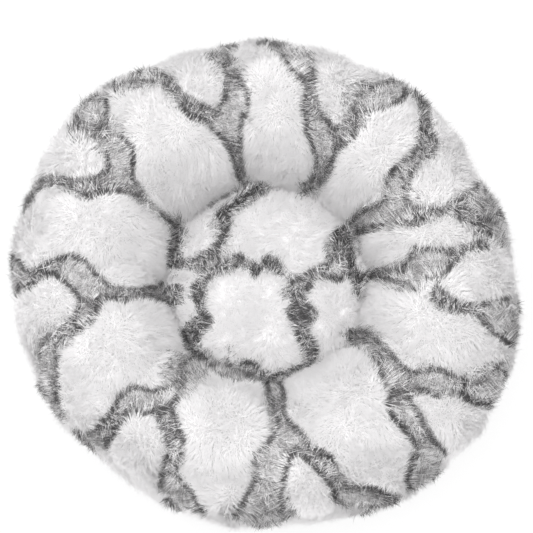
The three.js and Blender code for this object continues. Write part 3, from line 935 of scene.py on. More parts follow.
def strandMesh(name, roots, tips, normals, dyed, shade, width, random):
    count = len(roots)
    course = unit(tips - roots)
    sideways = unit(np.cross(course, normals + strand["twist"] * random.normal(size=course.shape)))
    across = np.cross(course, sideways)
    vertices = np.zeros((count, 4, 3))
    half = width[:, None] / 2
    for corner in range(3):
        turn = corner * fullTurn / 3
        vertices[:, corner] = roots + (sideways * math.cos(turn) + across * math.sin(turn)) * half
    vertices[:, 3] = tips
    corners = np.array(strand["corners"])
    loops = (corners[None, :] + 4 * np.arange(count)[:, None]).ravel()
    mesh = bpy.data.meshes.new(name)
    mesh.vertices.add(4 * count)
    mesh.vertices.foreach_set("co", vertices.astype(np.float32).ravel())
    mesh.loops.add(len(loops))
    mesh.loops.foreach_set("vertex_index", loops.astype(np.int32))
    mesh.polygons.add(4 * count)
    mesh.polygons.foreach_set("loop_start", np.arange(0, len(loops), 3, dtype=np.int32))
    mesh.update(calc_edges=True)
    steps = np.array(strand["mapSteps"])[corners][None, :]
    rootOrTip = np.array([0, 0, 0, 1])
    layMap(mesh, dyed[:, rootOrTip[corners]] + steps * strand["mapAcross"], shade[:, None] + steps)
    smoothFaces(mesh)
    shading = np.repeat(normals[:, None, :], 4, axis=1)
    shading[:, :3] += unit(vertices[:, :3] - roots[:, None]) * hairFinish["roundShare"]
    mesh.normals_split_custom_set_from_vertices(unit(shading).reshape(-1, 3).tolist())
    return mesh


def newMesh(name, points, faces):
    mesh = bpy.data.meshes.new(name)
    mesh.from_pydata(points.reshape(-1, 3).tolist(), [], faces)
    smoothFaces(mesh)
    return mesh


def newObject(mesh):
    thing = bpy.data.objects.new(mesh.name, mesh)
    bpy.context.scene.collection.objects.link(thing)
    return thing


def newMaterial(name, roughness):
    material = bpy.data.materials.new(name)
    material.use_nodes = True
    nodes, links = material.node_tree.nodes, material.node_tree.links
    shader = nodes["Principled BSDF"]
    shader.inputs["Roughness"].default_value = roughness
    return material, nodes, links, shader


# Hair colour: white, a dark line along the edge of each vein, and mixed grey hair inside it.
# The lowest shades are the dense pile's, painted dimmer than the hair over it as painted shade between the
# strands.
hairFinish = {
    "whiteStops": [(0.0, (0.58, 0.571, 0.575)), (0.02, (0.62, 0.611, 0.615)), (0.06, (0.84, 0.828, 0.833)),
                   (0.2, (0.91, 0.898, 0.903)), (0.5, (0.95, 0.937, 0.943)), (1.0, (0.98, 0.967, 0.973))],
    "insideStops": [(0.0, (0.28, 0.273, 0.276)), (0.05, (0.32, 0.312, 0.316)), (0.07, (0.95, 0.937, 0.943)),
                    (0.52, (0.86, 0.848, 0.853)), (0.62, (0.38, 0.370, 0.374)), (1.0, (0.14, 0.136, 0.138))],
    "lineStops": [(0.0, (0.12, 0.116, 0.118)), (0.05, (0.14, 0.135, 0.137)), (0.07, (0.95, 0.938, 0.944)),
                  (0.24, (0.80, 0.788, 0.794)), (0.32, (0.13, 0.126, 0.128)), (1.0, (0.04, 0.038, 0.039))],
    "lineHalf": 2.4 * mm,
    "lineFade": 1.1 * mm,
    "roughness": 0.6,
    "specular": 0.3,
    "roundShare": 0.5,
}


def addRamp(nodes, stops, name):
    ramp = nodes.new("ShaderNodeValToRGB")
    ramp.label = name
    places = ramp.color_ramp.elements
    places[0].position, places[0].color = stops[0][0], (*stops[0][1], 1)
    places[1].position, places[1].color = stops[-1][0], (*stops[-1][1], 1)
    for position, colour in stops[1:-1]:
        places.new(position).color = (*colour, 1)
    return ramp


def mixColours(nodes, links, share, first, second):
    mixer = nodes.new("ShaderNodeMix")
    mixer.data_type = "RGBA"
    links.new(share, mixer.inputs["Factor"])
    links.new(first, mixer.inputs["A"])
    links.new(second, mixer.inputs["B"])
    return mixer.outputs["Result"]


def makeHairMaterial(finish):
    material, nodes, links, shader = newMaterial("dyedFur", finish["roughness"])
    shader.inputs["Specular IOR Level"].default_value = finish["specular"]
    uv = nodes.new("ShaderNodeUVMap")
    uv.uv_map = "OFBake"
    split = nodes.new("ShaderNodeSeparateXYZ")
    links.new(uv.outputs["UV"], split.inputs[0])
    across, shade = split.outputs["X"], split.outputs["Y"]

    def colourBy(source, stops, name):
        ramp = addRamp(nodes, stops, name)
        links.new(source, ramp.inputs["Fac"])
        return ramp.outputs["Color"]

    perMetre = 1 / (2 * dye["range"])
    half, fade = finish["lineHalf"] * perMetre, finish["lineFade"] * perMetre
    black, full = (0, 0, 0), (1, 1, 1)
    lineStart = [(0.5 - half - fade, black), (0.5 - half, full)]
    lineEnd = [(0.5 + half * 0.5, full), (0.5 + half + fade, black)]
    line = colourBy(across, lineStart + lineEnd, "line along the edge")
    inside = colourBy(across, [(0.5 - fade, full), (0.5 + fade, black)], "inside of the vein")
    white = colourBy(shade, finish["whiteStops"], "white hair")
    mixed = colourBy(shade, finish["insideStops"], "mixed hair")
    dark = colourBy(shade, finish["lineStops"], "dark hair")
    colour = mixColours(nodes, links, line, mixColours(nodes, links, inside, white, mixed), dark)
    links.new(colour, shader.inputs["Base Color"])
    return material


hairMaterial = makeHairMaterial(hairFinish)


# The dense lower part of the pile, which carries the dye between the strands in dim shades: painted shade
# between the strands, painted lighter low down in the well. Steps set its shades apart.
underfur = {
    "seed": 5,
    "stations": 330,
    "turns": 92,
    "radii": 40,
    "seatMiddle": 0.5 * mm,
    "seatStationStep": 3,
    "ruffle": 0.8 * mm,
    "ruffleLength": 9 * mm,
    "lift": 0.5 * mm,
    "shadeSpread": 0.01,
    "wellPaintedLight": 0.04,
    "lowFrom": 80 * mm,
    "lowFade": 70 * mm,
    "mapSteps": (0, 0.003, 0.003, 0),
    "shadeSteps": (0, 0, 0.01, 0.01),
}


def underfurMesh(name, layer, firstValues, secondValues, random):
    first, second = np.meshgrid(firstValues, secondValues, indexing="ij")
    rows, columns = first.shape
    first, second = first.ravel(), second.ravel()
    if layer is rimLayer:
        second = aboveZip(first, second)
    backing = layer["backing"](first, second)
    upwards = surfaceNormals(layer["backing"], first, second, layer["sign"])
    seen = seenPoints(layer, first, second)
    sink = veinSink(layer, first, second, seen)
    ruffle = underfur["ruffle"] * waveNoise(backing, underfur["ruffleLength"], random)
    top = backing + upwards * (layer["thickness"](first, second) - sink + ruffle)[:, None]
    bottom = backing + upwards * underfur["lift"]
    upper = gridFaces(rows, columns)
    parts = [upper, upper[:, ::-1] + len(top)]
    for column, flip in ((0, 1), (columns - 1, -1)):
        here = np.arange(rows) * columns + column
        there = np.roll(here, -1)
        parts.append(np.stack([here, here + len(top), there + len(top), there], -1)[:, ::flip])
    faces = np.concatenate(parts)
    if layer["sign"] < 0:
        faces = faces[:, ::-1]
    mesh = newMesh(name, np.concatenate([top, bottom]), faces.tolist())
    dyed = np.concatenate([dyeAcross(seen, upwards), np.full(len(top), 1 - dye["mapEnd"])])
    shade = random.uniform(0, underfur["shadeSpread"], len(faces)).repeat(4)
    # Painted light: the pile's shade is lifted low down, in the well, where little light reaches
    low = underfur["wellPaintedLight"] * (1 - smoothShare((seen[:, 2] - underfur["lowFrom"]) / underfur["lowFade"]))
    shade = shade + np.tile(low, 2)[faces.ravel()] + np.tile(underfur["shadeSteps"], len(faces))
    layMap(mesh, dyed[faces.ravel()] + np.tile(underfur["mapSteps"], len(faces)), shade)
    return mesh


# Gives a finished piece its finish, and the body that it rides on. It may stand for a CAD node.
def dress(thing, material, node=None, body="bed"):
    thing.data.materials.clear()
    thing.data.materials.append(material)
    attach(thing, body)
    if node is not None:
        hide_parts(node)


def makeUnderfur():
    random = np.random.default_rng(underfur["seed"])
    angles = np.linspace(0, fullTurn, underfur["stations"], endpoint=False)
    turns = np.linspace(ringShape["lowestTurn"], ringShape["wellTurn"], underfur["turns"])
    radii = np.linspace(underfur["seatMiddle"], seatShape["radius"], underfur["radii"])
    seatAngles = angles[:: underfur["seatStationStep"]]
    rimMesh = underfurMesh("rim_underfur", rimLayer, angles, turns, random)
    seatMesh = underfurMesh("seat_underfur", seatLayer, seatAngles, radii, random)
    dress(newObject(rimMesh), hairMaterial, "rim_cover")
    dress(newObject(seatMesh), hairMaterial, "seat_cover")


makeUnderfur()
print("underfur made")


def makeFur():
    random = np.random.default_rng(fur["seed"])
    angle, turn = ringRoots(random)
    strands = growStrands(rimLayer, angle, turn, fur["wellEdge"] * wellWallShare(turn), random)
    sector = ((angle % fullTurn) / fullTurn * fur["sectors"]).astype(int)
    for number in range(fur["sectors"]):
        mine = sector == number
        mesh = strandMesh(f"rim_fur_{number + 1}", *[part[mine] for part in strands], random)
        dress(newObject(mesh), hairMaterial, "rim_cover")
    angle, radius = seatRoots(random)
    strands = growStrands(seatLayer, angle, radius, seatEdge(radius), random)
    seatFur = newObject(strandMesh("seat_fur", *strands, random))
    dress(seatFur, hairMaterial, "seat_cover")


makeFur()
print("fur grown")


def objectPlace(nodes):
    return nodes.new("ShaderNodeTexCoord").outputs["Object"]


def noiseField(nodes, links, size, detail):
    noise = nodes.new("ShaderNodeTexNoise")
    noise.inputs["Scale"].default_value = 1 / size
    noise.inputs["Detail"].default_value = detail
    links.new(objectPlace(nodes), noise.inputs["Vector"])
    return noise.outputs["Fac"]


def calculate(nodes, links, operation, *values):
    node = nodes.new("ShaderNodeMath")
    node.operation = operation
    for socket, value in zip(node.inputs, values):
        if isinstance(value, (int, float)):
            socket.default_value = value
        else:
            links.new(value, socket)
    return node.outputs[0]


def shadeBetween(nodes, links, shader, field, low, high):
    ramp = addRamp(nodes, [(0.3, low), (0.7, high)], "colour")
    links.new(field, ramp.inputs["Fac"])
    links.new(ramp.outputs["Color"], shader.inputs["Base Color"])


def raiseBy(nodes, links, shader, field, strength, distance):
    bump = nodes.new("ShaderNodeBump")
    bump.inputs["Strength"].default_value = strength
    bump.inputs["Distance"].default_value = distance
    links.new(field, bump.inputs["Height"])
    links.new(bump.outputs["Normal"], shader.inputs["Normal"])


# Waves along each axis. Crossed, they make a plain weave on a face that looks any way.
def crossedWaves(nodes, links, pitch):
    split = nodes.new("ShaderNodeSeparateXYZ")
    links.new(objectPlace(nodes), split.inputs[0])
    waves = []
    for axis in ("X", "Y", "Z"):
        turned = calculate(nodes, links, "MULTIPLY", split.outputs[axis], fullTurn / pitch)
        waves.append(calculate(nodes, links, "SINE", turned))
    products = [calculate(nodes, links, "MULTIPLY", waves[i], waves[i - 1]) for i in range(3)]
    total = calculate(nodes, links, "ADD", calculate(nodes, links, "ADD", *products[:2]), products[2])
    return calculate(nodes, links, "MULTIPLY_ADD", total, 0.4, 0.5)


# Finishes with one pattern, between two shades. Noise has its size and detail, a weave its pitch,
# and relief its strength and depth.
finishes = {
    "nonWovenBag": {
        "noise": (1.6 * mm, 5), "low": (0.80, 0.80, 0.78), "high": (0.91, 0.91, 0.89),
        "roughness": 0.85, "relief": (0.35, 0.3 * mm),
    },
    "polyesterFibre": {
        "noise": (4 * mm, 8), "low": (0.82, 0.82, 0.81), "high": (0.95, 0.95, 0.94),
        "roughness": 0.9, "relief": (0.7, 1.5 * mm),
    },
    "wovenBase": {
        "weave": 1.3 * mm, "low": (0.055, 0.055, 0.06), "high": (0.15, 0.15, 0.156),
        "roughness": 0.75, "relief": (0.6, 0.25 * mm),
    },
    "gripRubber": {
        "noise": (1.5 * mm, 3), "low": (0.022, 0.022, 0.024), "high": (0.045, 0.045, 0.047),
        "roughness": 0.6, "relief": (0.2, 0.1 * mm),
    },
    "sewingThread": {
        "weave": 0.7 * mm, "low": (0.62, 0.615, 0.60), "high": (0.84, 0.835, 0.82),
        "roughness": 0.6, "relief": (0.5, 0.1 * mm),
    },
    "nylonCoil": {
        "noise": (3 * mm, 3), "low": (0.74, 0.74, 0.72), "high": (0.86, 0.86, 0.84), "roughness": 0.32,
    },
    "satinNickel": {
        "noise": (0.8 * mm, 6), "low": (0.43, 0.425, 0.415), "high": (0.51, 0.505, 0.495),
        "roughness": 0.3, "relief": (0.05, 0.05 * mm), "metallic": 1, "polish": (0.24, 0.36),
    },
}


def makeFinish(name):
    finish = finishes[name]
    material, nodes, links, shader = newMaterial(name, finish["roughness"])
    shader.inputs["Metallic"].default_value = finish.get("metallic", 0)
    if "weave" in finish:
        pattern = crossedWaves(nodes, links, finish["weave"])
    else:
        pattern = noiseField(nodes, links, *finish["noise"])
    shadeBetween(nodes, links, shader, pattern, finish["low"], finish["high"])
    if "relief" in finish:
        raiseBy(nodes, links, shader, pattern, *finish["relief"])
    if "polish" in finish:
        spread = nodes.new("ShaderNodeMapRange")
        spread.inputs["To Min"].default_value, spread.inputs["To Max"].default_value = finish["polish"]
        links.new(pattern, spread.inputs["Value"])
        links.new(spread.outputs["Result"], shader.inputs["Roughness"])
    return material


# A closed skin over rows of points. Rows run round the bed, and each row is a closed section.
def turnedMesh(name, points):
    mesh = newMesh(name, points, gridFaces(*points.shape[:2], closed=True).tolist())
    shape = bmesh.new()
    shape.from_mesh(mesh)
    bmesh.ops.remove_doubles(shape, verts=shape.verts, dist=0.01 * mm)
    for edge in [edge for edge in shape.edges if not edge.link_faces]:
        shape.edges.remove(edge)
    bmesh.ops.recalc_face_normals(shape, faces=shape.faces)
    shape.to_mesh(mesh)
    shape.free()
    smoothFaces(mesh)
    return mesh


# The cushions inside the cover: thin wrinkled bags and their lumpy fibre filling
cushions = {
    "seed": 31,
    "gap": 0.3 * mm,
    "wall": 1.2 * mm,
    "wrinkle": 0.9 * mm,
    "wrinkleLength": 15 * mm,
    "fibreInset": 3.6 * mm,
    "lump": 1.5 * mm,
    "lumpLength": 18 * mm,
    "floor": 1.9 * mm,
    "stations": 180,
    "steps": 38,
    "underSteps": 8,
}


# A wavering share between 0 and 1 at each place
def dentShare(places, wavelength, random):
    return 0.5 + 0.5 * np.clip(waveNoise(places.reshape(-1, 3), wavelength, random), -1, 1)


def cushionGrid(surface, seconds, inset, dent, dentLength, random):
    angles = np.linspace(0, fullTurn, cushions["stations"], endpoint=False)
    first, second = np.meshgrid(angles, seconds, indexing="ij")
    share = dentShare(surface(first, second, inset), dentLength, random)
    return first, second, inset + dent * share.reshape(first.shape)


def bagMesh(name, surface, seconds, inset, random):
    wrinkles = cushions["wrinkle"], cushions["wrinkleLength"]
    first, second, insets = cushionGrid(surface, seconds, inset, *wrinkles, random)
    outside = surface(first, second, insets)
    inside = surface(first, second, insets + cushions["wall"])
    return turnedMesh(name, np.concatenate([outside, inside[:, ::-1]], axis=1))


# The filling is flat underneath, where it rests on the base
def fibreMesh(name, surface, seconds, random):
    lumps = cushions["lump"], cushions["lumpLength"]
    first, second, insets = cushionGrid(surface, seconds, cushions["fibreInset"], *lumps, random)
    upper = surface(first, second, insets)
    start, end = upper[:, -1].copy(), upper[:, 0].copy()
    if surface is seatPoints:
        end = np.zeros_like(end)
    start[:, 2] = end[:, 2] = cushions["floor"]
    shares = np.linspace(0, 1, cushions["underSteps"])[None, :, None]
    under = start[:, None] + (end - start)[:, None] * shares
    return turnedMesh(name, np.concatenate([upper, under], axis=1))


def makeCushions():
    random = np.random.default_rng(cushions["seed"])
    bagCloth, fibre = makeFinish("nonWovenBag"), makeFinish("polyesterFibre")
    down = (ringShape["centreHeight"] - cushions["floor"]) / (ringShape["skirtReach"] - cushions["gap"])
    down = math.asin(down ** (ringShape["skirtPower"] / 2))
    turns = np.linspace(-down, math.pi + down, cushions["steps"])
    radii = seatShape["bagRadius"] * np.sin(np.linspace(0, math.pi / 2, cushions["steps"] // 2))
    rimBag = bagMesh("rim_bag", sectionPoints, turns, cushions["gap"], random)
    seatBag = bagMesh("seat_bag", seatPoints, radii, 0, random)
    rimFibre = fibreMesh("rim_fibre", sectionPoints, turns, random)
    seatFibre = fibreMesh("seat_fibre", seatPoints, radii, random)
    dress(newObject(rimBag), bagCloth, "rim_liner")
    dress(newObject(seatBag), bagCloth, "seat_liner")
    dress(newObject(rimFibre), fibre, "rim_filling")
    dress(newObject(seatFibre), fibre, "seat_filling")


makeCushions()
print("cushions made")


# The base: one round of woven cloth, turned up at its edge, on rubber grip dots
baseCloth = {
    "seed": 41,
    "radius": 217.5 * mm,
    "height": 15.7 * mm,
    "sheet": 1.1 * mm,
    "underside": 0.4 * mm,
    "corner": 4 * mm,
    "cornerSaves": 0.43,
    "hem": 0.5 * mm,
    "waver": 0.5 * mm,
    "waverLength": 30 * mm,
    "stations": 200,
    "flatSteps": 24,
    "wallSteps": 7,
    "bendSteps": 6,
}

gripDots = {
    "spacing": 12 * mm,
    "rowShare": 0.866,
    "radius": 1.3 * mm,
    "footShare": 0.8,
    "height": 0.5 * mm,
    "edgeShare": 0.4,
    "sides": 8,
    "field": 207 * mm,
}


def arcPoints(middle, radius, start, end, steps):
    turns = np.radians(np.linspace(start, end, steps))
    return [(middle[0] + radius * math.cos(t), middle[1] + radius * math.sin(t)) for t in turns]


def baseSection():
    radius, sheet, corner = baseCloth["radius"], baseCloth["sheet"], baseCloth["corner"]
    low, top = baseCloth["underside"], baseCloth["height"] - baseCloth["hem"]
    bendSteps = baseCloth["bendSteps"]
    middle = (radius - corner, low + corner)
    flat = np.linspace(0, radius - corner, baseCloth["flatSteps"])[:-1]
    wall = np.linspace(low + corner, top, baseCloth["wallSteps"])[1:-1]
    outside = [(r, low) for r in flat] + arcPoints(middle, corner, -90, 0, bendSteps)
    outside += [(radius, z) for z in wall]
    hem = arcPoints((radius - sheet / 2, top), sheet / 2, 0, 180, bendSteps)
    inside = [(radius - sheet, z) for z in wall[::-1]] + arcPoints(middle, corner - sheet, 0, -90, bendSteps)
    inside += [(r, low + sheet) for r in flat[::-1]]
    return np.array(outside + hem + inside)


def baseClothMesh():
    random = np.random.default_rng(baseCloth["seed"])
    section = baseSection()
    angles = np.linspace(0, fullTurn, baseCloth["stations"], endpoint=False)
    angle, radius = np.meshgrid(angles, section[:, 0], indexing="ij")
    height = np.tile(section[:, 1], (len(angles), 1))
    places = np.stack([radius * np.cos(angle), radius * np.sin(angle), np.zeros_like(radius)], -1)
    dent = baseCloth["waver"] * dentShare(places, baseCloth["waverLength"], random).reshape(radius.shape)
    upright = np.clip((height - baseCloth["underside"]) / baseCloth["corner"] - 0.5, 0, 1)
    radius = radius - dent * upright
    return turnedMesh("base_cloth", np.stack([radius * np.cos(angle), radius * np.sin(angle), height], -1))


# Joins copies of one small piece, each turned about the upright axis and put in its place
def joinedCopies(name, pattern, places, turns):
    count = len(pattern.vertices)
    shape = np.empty(count * 3)
    pattern.vertices.foreach_get("co", shape)
    shape = shape.reshape(-1, 3)
    cosines, sines = np.cos(turns)[:, None], np.sin(turns)[:, None]
    x = shape[:, 0] * cosines - shape[:, 1] * sines
    y = shape[:, 0] * sines + shape[:, 1] * cosines
    z = np.broadcast_to(shape[:, 2], x.shape)
    points = np.stack([x, y, z], -1) + np.array(places)[:, None, :]
    faces = [tuple(face.vertices) for face in pattern.polygons]
    every = [tuple(corner + copy * count for corner in face) for copy in range(len(turns)) for face in faces]
    return newMesh(name, points, every)


def selectOnly(thing):
    bpy.ops.object.select_all(action="DESELECT")
    thing.select_set(True)
    bpy.context.view_layer.objects.active = thing


# One grip dot: a low cone with a rounded foot
def dotPattern():
    bpy.ops.object.select_all(action="DESELECT")
    radius, height = gripDots["radius"], gripDots["height"]
    foot = radius * gripDots["footShare"]
    bpy.ops.mesh.primitive_cone_add(vertices=gripDots["sides"], radius1=foot, radius2=radius, depth=height)
    dot = bpy.context.object
    bpy.ops.object.mode_set(mode="EDIT")
    bpy.ops.mesh.select_all(action="DESELECT")
    bpy.ops.object.mode_set(mode="OBJECT")
    for face in dot.data.polygons:
        face.select = face.normal.z < -0.9
    bpy.ops.object.mode_set(mode="EDIT")
    bpy.ops.mesh.bevel(offset=height * gripDots["edgeShare"], segments=1)
    bpy.ops.object.mode_set(mode="OBJECT")
    return dot


def makeBase():
    cloth = newObject(baseClothMesh())
    dot = dotPattern()
    spacing, rowShare = gripDots["spacing"], gripDots["rowShare"]
    rows = int(gripDots["field"] / (spacing * rowShare))
    places = []
    for row in range(-rows, rows + 1):
        for column in range(-rows - 2, rows + 3):
            x = (column + 0.5 * (row % 2)) * spacing
            y = row * spacing * rowShare
            if math.hypot(x, y) < gripDots["field"]:
                places.append((x, y, gripDots["height"] / 2))
    dots = newObject(joinedCopies("base_dots", dot.data, places, np.zeros(len(places))))
    bpy.data.objects.remove(dot)
    dress(cloth, makeFinish("wovenBase"), "base_panel")
    dress(dots, makeFinish("gripRubber"), "base_panel")


makeBase()
print("base made")


# Thread in the seams, and along the zip's tapes: rows of stitches round the bed
stitching = {
    "wellRadius": 95.65 * mm,
    "wellHeight": 59.97 * mm,
    "baseRadius": 215.05 * mm,
    "baseHeight": 16.0 * mm,
    "baseStart": 157.5,
    "baseEnd": 382.5,
    "seamStitch": 5.2 * mm,
    "seamThread": 1.2 * mm,
    "tapeRows": {"rim": (22.2 * mm, 27.2 * mm), "base": (9.8 * mm, 4.8 * mm)},
    "tapeStitch": 3.0 * mm,
    "tapeThread": 0.5 * mm,
    "tapeRise": 0.05 * mm,
    "tapeEnd": 0.8,
    "overlap": 1.06,
}


# One stitch: a rounded length of thread that narrows to its ends
def stitchPattern(length, thickness):
    bpy.ops.object.select_all(action="DESELECT")
    bpy.ops.mesh.primitive_uv_sphere_add(segments=6, ring_count=6, radius=0.5)
    stitch = bpy.context.object
    bpy.ops.object.mode_set(mode="EDIT")
    bpy.ops.mesh.select_all(action="SELECT")
    bpy.ops.transform.resize(value=(thickness, thickness, length * stitching["overlap"]))
    bpy.ops.object.mode_set(mode="OBJECT")
    stitch.data.transform(Matrix.Rotation(math.pi / 2, 4, "X"))
    return stitch


def stitchRow(name, rows, start, end, length, thickness):
    stitch = stitchPattern(length, thickness)
    places, turns = [], []
    for radius, height in rows:
        span = math.radians(end - start)
        count = int(span * radius / length)
        for number in range(count):
            angle = math.radians(start) + (number + 0.5) * span / count
            places.append((radius * math.cos(angle), radius * math.sin(angle), height))
            turns.append(angle)
    row = newObject(joinedCopies(name, stitch.data, places, np.array(turns)))
    bpy.data.objects.remove(stitch)
    return row


# The zip: measures of its chain, as an arc low on the back. The coils end short of the stops.
zipShape = {
    "middle": 90,
    "tapeRadius": 217.8 * mm,
    "tapeSheet": 0.8 * mm,
    "halfSpan": math.degrees(200 / 217.8),
    "chainHeight": 16.0 * mm,
    "coilGap": 0.15 * mm,
    "coilWidth": 2.75 * mm,
    "coilDepth": 2.4 * mm,
    "coilEnd": 0.1,
    "wire": 0.6 * mm,
    "pitch": 1.25 * mm,
    "perTurn": 9,
    "stopLength": 3.3 * mm,
    "rowHeight": 1.2 * mm,
    "ribPitch": 0.9 * mm,
    "tapeRoughness": 0.8,
    "tapeLow": (0.66, 0.655, 0.64),
    "tapeHigh": (0.86, 0.855, 0.84),
    "tapeRelief": (0.5, 0.2 * mm),
}


# Herringbone: slanted ribs along the tape, which turn back at each row
def makeTapeWeave():
    material, nodes, links, shader = newMaterial("wovenTape", zipShape["tapeRoughness"])
    split = nodes.new("ShaderNodeSeparateXYZ")
    links.new(objectPlace(nodes), split.inputs[0])
    angle = calculate(nodes, links, "ARCTAN2", split.outputs["Y"], split.outputs["X"])
    along = calculate(nodes, links, "MULTIPLY", angle, zipShape["tapeRadius"])
    slant = calculate(nodes, links, "PINGPONG", split.outputs["Z"], zipShape["rowHeight"])
    slanted = calculate(nodes, links, "ADD", along, slant)
    ribs = calculate(nodes, links, "MULTIPLY", slanted, fullTurn / zipShape["ribPitch"])
    height = calculate(nodes, links, "MULTIPLY_ADD", calculate(nodes, links, "SINE", ribs), 0.5, 0.5)
    shadeBetween(nodes, links, shader, height, zipShape["tapeLow"], zipShape["tapeHigh"])
    raiseBy(nodes, links, shader, height, *zipShape["tapeRelief"])
    return material


def makeStitches(thread):
    seam = stitching["seamStitch"], stitching["seamThread"]
    wellRow = [(stitching["wellRadius"], stitching["wellHeight"])]
    baseRow = [(stitching["baseRadius"], stitching["baseHeight"])]
    well = stitchRow("well_stitches", wellRow, 0, 360, *seam)
    base = stitchRow("base_stitches", baseRow, stitching["baseStart"], stitching["baseEnd"], *seam)
    dress(well, thread, "well_seam")
    dress(base, thread, "base_seam")
    surface = zipShape["tapeRadius"] + zipShape["tapeSheet"] + stitching["tapeRise"]
    start = zipShape["middle"] - zipShape["halfSpan"] + stitching["tapeEnd"]
    end = zipShape["middle"] + zipShape["halfSpan"] - stitching["tapeEnd"]
    size = stitching["tapeStitch"], stitching["tapeThread"]
    for side, heights in stitching["tapeRows"].items():
        rows = [(surface, height) for height in heights]
        dress(stitchRow(f"tape_stitches_{side}", rows, start, end, *size), thread)


# One nylon coil: a wire wound flat along the tape's edge. side is 1 above the chain's middle, -1 below.
def makeCoil(name, side, node, nylon):
    radius = zipShape["tapeRadius"] + zipShape["coilDepth"] / 2
    height = zipShape["chainHeight"] + side * (zipShape["coilGap"] + zipShape["coilWidth"] / 2)
    ends = math.degrees(zipShape["stopLength"] / zipShape["tapeRadius"]) + zipShape["coilEnd"]
    start = math.radians(zipShape["middle"] - zipShape["halfSpan"] + ends)
    end = math.radians(zipShape["middle"] + zipShape["halfSpan"] - ends)
    turnsCount = int((end - start) * radius / zipShape["pitch"])
    along = np.linspace(0, 1, turnsCount * zipShape["perTurn"])
    winding = along * turnsCount * fullTurn + (math.pi / 2) * side
    angle = start + (end - start) * along
    out = radius + (zipShape["coilDepth"] - zipShape["wire"]) / 2 * np.cos(winding)
    wide = (zipShape["coilWidth"] - zipShape["wire"]) / 2 * np.sin(winding)
    curve = bpy.data.curves.new(name, "CURVE")
    curve.dimensions = "3D"
    curve.bevel_depth = zipShape["wire"] / 2
    curve.bevel_resolution = 0
    curve.use_fill_caps = True
    wire = curve.splines.new("POLY")
    wire.points.add(len(along) - 1)
    places = [out * np.cos(angle), out * np.sin(angle), height + wide, np.ones_like(angle)]
    wire.points.foreach_set("co", np.stack(places, -1).astype(np.float32).ravel())
    selectOnly(newObject(curve))
    bpy.ops.object.convert(target="MESH")
    bpy.ops.object.shade_smooth()
    dress(bpy.context.object, nylon, node)


# Metal pieces: each one's CAD node, its body, and how far its edges are rounded
metalPieces = {
    "stop_closed": ("zip_stop_closed", "bed", 0.5 * mm),
    "stop_open": ("zip_stop_open", "bed", 0.5 * mm),
    "slider_body": ("zip_slider", "slider", 0.22 * mm),
    "pull_tab": ("zip_pull", "pull", 0.25 * mm),
}

roundedEdge = {"merge": 0.01 * mm, "flat": math.radians(2), "sharp": math.radians(35),
               "smooth": math.radians(40), "segments": 3}


# A metal piece with its edges rounded, from its CAD node
def makeRoundedMetal(name, metal):
    node, body, width = metalPieces[name]
    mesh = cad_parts[node].data.copy()
    mesh.name = name
    thing = newObject(mesh)
    selectOnly(thing)
    bpy.ops.object.mode_set(mode="EDIT")
    bpy.ops.mesh.select_all(action="SELECT")
    bpy.ops.mesh.remove_doubles(threshold=roundedEdge["merge"])
    bpy.ops.mesh.dissolve_limited(angle_limit=roundedEdge["flat"])
    bpy.ops.object.mode_set(mode="OBJECT")
    bevel = thing.modifiers.new("roundedEdge", "BEVEL")
    bevel.width = width
    bevel.segments = roundedEdge["segments"]
    bevel.limit_method = "ANGLE"
    bevel.angle_limit = roundedEdge["sharp"]
    bevel.harden_normals = False
    bpy.ops.object.modifier_apply(modifier=bevel.name)
    bpy.ops.object.shade_smooth_by_angle(angle=roundedEdge["smooth"])
    dress(thing, metal, node, body=body)


def makeZip():
    nylon, metal, tape = makeFinish("nylonCoil"), makeFinish("satinNickel"), makeTapeWeave()
    makeStitches(makeFinish("sewingThread"))
    makeCoil("coil_upper", 1, "zip_coil_rim", nylon)
    makeCoil("coil_lower", -1, "zip_coil_base", nylon)
    for name in metalPieces:
        makeRoundedMetal(name, metal)
    for node in ("zip_tape_rim", "zip_tape_base"):
        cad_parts[node].material_slots[0].material = tape


makeZip()
print("zip and threads made")


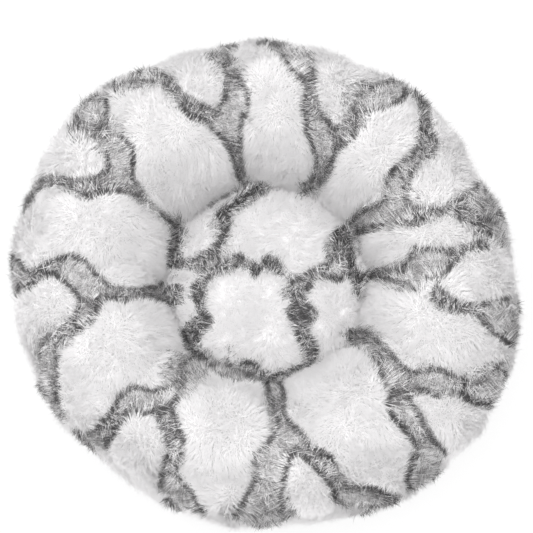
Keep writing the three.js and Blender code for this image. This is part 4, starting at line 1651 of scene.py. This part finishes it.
# Studio: pale floor, a broad soft lamp above that looks at the bed, and an even sky
studio = {
    "floorSize": 12,
    "floorColour": (0.95, 0.95, 0.95),
    "floorRoughness": 0.9,
    "floorGlow": 0.88,
    "skyColour": (1, 1, 1),
    "skyStrength": 1.13,
    "keySize": 1.6,
    "keyPower": 30,
    "keyPlace": (-0.4, -0.1, 2.4),
    "keyAim": (0, 0, 0.1),
}


# The floor shows as the background to the camera and in gloss, and keeps the bed's shadow
def makeFloor():
    bpy.ops.mesh.primitive_plane_add(size=studio["floorSize"], location=(0, 0, 0))
    floor = bpy.context.object
    floor.name = "floor"
    material, nodes, links, shader = newMaterial("paleFloor", studio["floorRoughness"])
    shader.inputs["Base Color"].default_value = (*studio["floorColour"], 1)
    glow = nodes.new("ShaderNodeEmission")
    path = nodes.new("ShaderNodeLightPath").outputs
    mirrored = calculate(nodes, links, "MAXIMUM", path["Is Glossy Ray"], path["Is Transmission Ray"])
    direct = calculate(nodes, links, "MAXIMUM", path["Is Camera Ray"], mirrored)
    share = calculate(nodes, links, "MULTIPLY", direct, studio["floorGlow"])
    mixer = nodes.new("ShaderNodeMixShader")
    links.new(share, mixer.inputs["Fac"])
    links.new(shader.outputs[0], mixer.inputs[1])
    links.new(glow.outputs[0], mixer.inputs[2])
    links.new(mixer.outputs[0], nodes["Material Output"].inputs["Surface"])
    floor.data.materials.append(material)


def makeLights():
    world = bpy.data.worlds.new("softSky")
    bpy.context.scene.world = world
    world.use_nodes = True
    sky = world.node_tree.nodes["Background"]
    sky.inputs["Color"].default_value = (*studio["skyColour"], 1)
    sky.inputs["Strength"].default_value = studio["skyStrength"]
    bpy.ops.object.light_add(type="AREA", location=studio["keyPlace"])
    key = bpy.context.object
    key.data.shape = "DISK"
    key.data.size = studio["keySize"]
    key.data.energy = studio["keyPower"]
    toBed = Vector(studio["keyAim"]) - key.location
    key.rotation_euler = toBed.to_track_quat("-Z", "Y").to_euler()


makeFloor()
makeLights()
bpy.context.scene.view_settings.view_transform = "Standard"
print("studio lit")
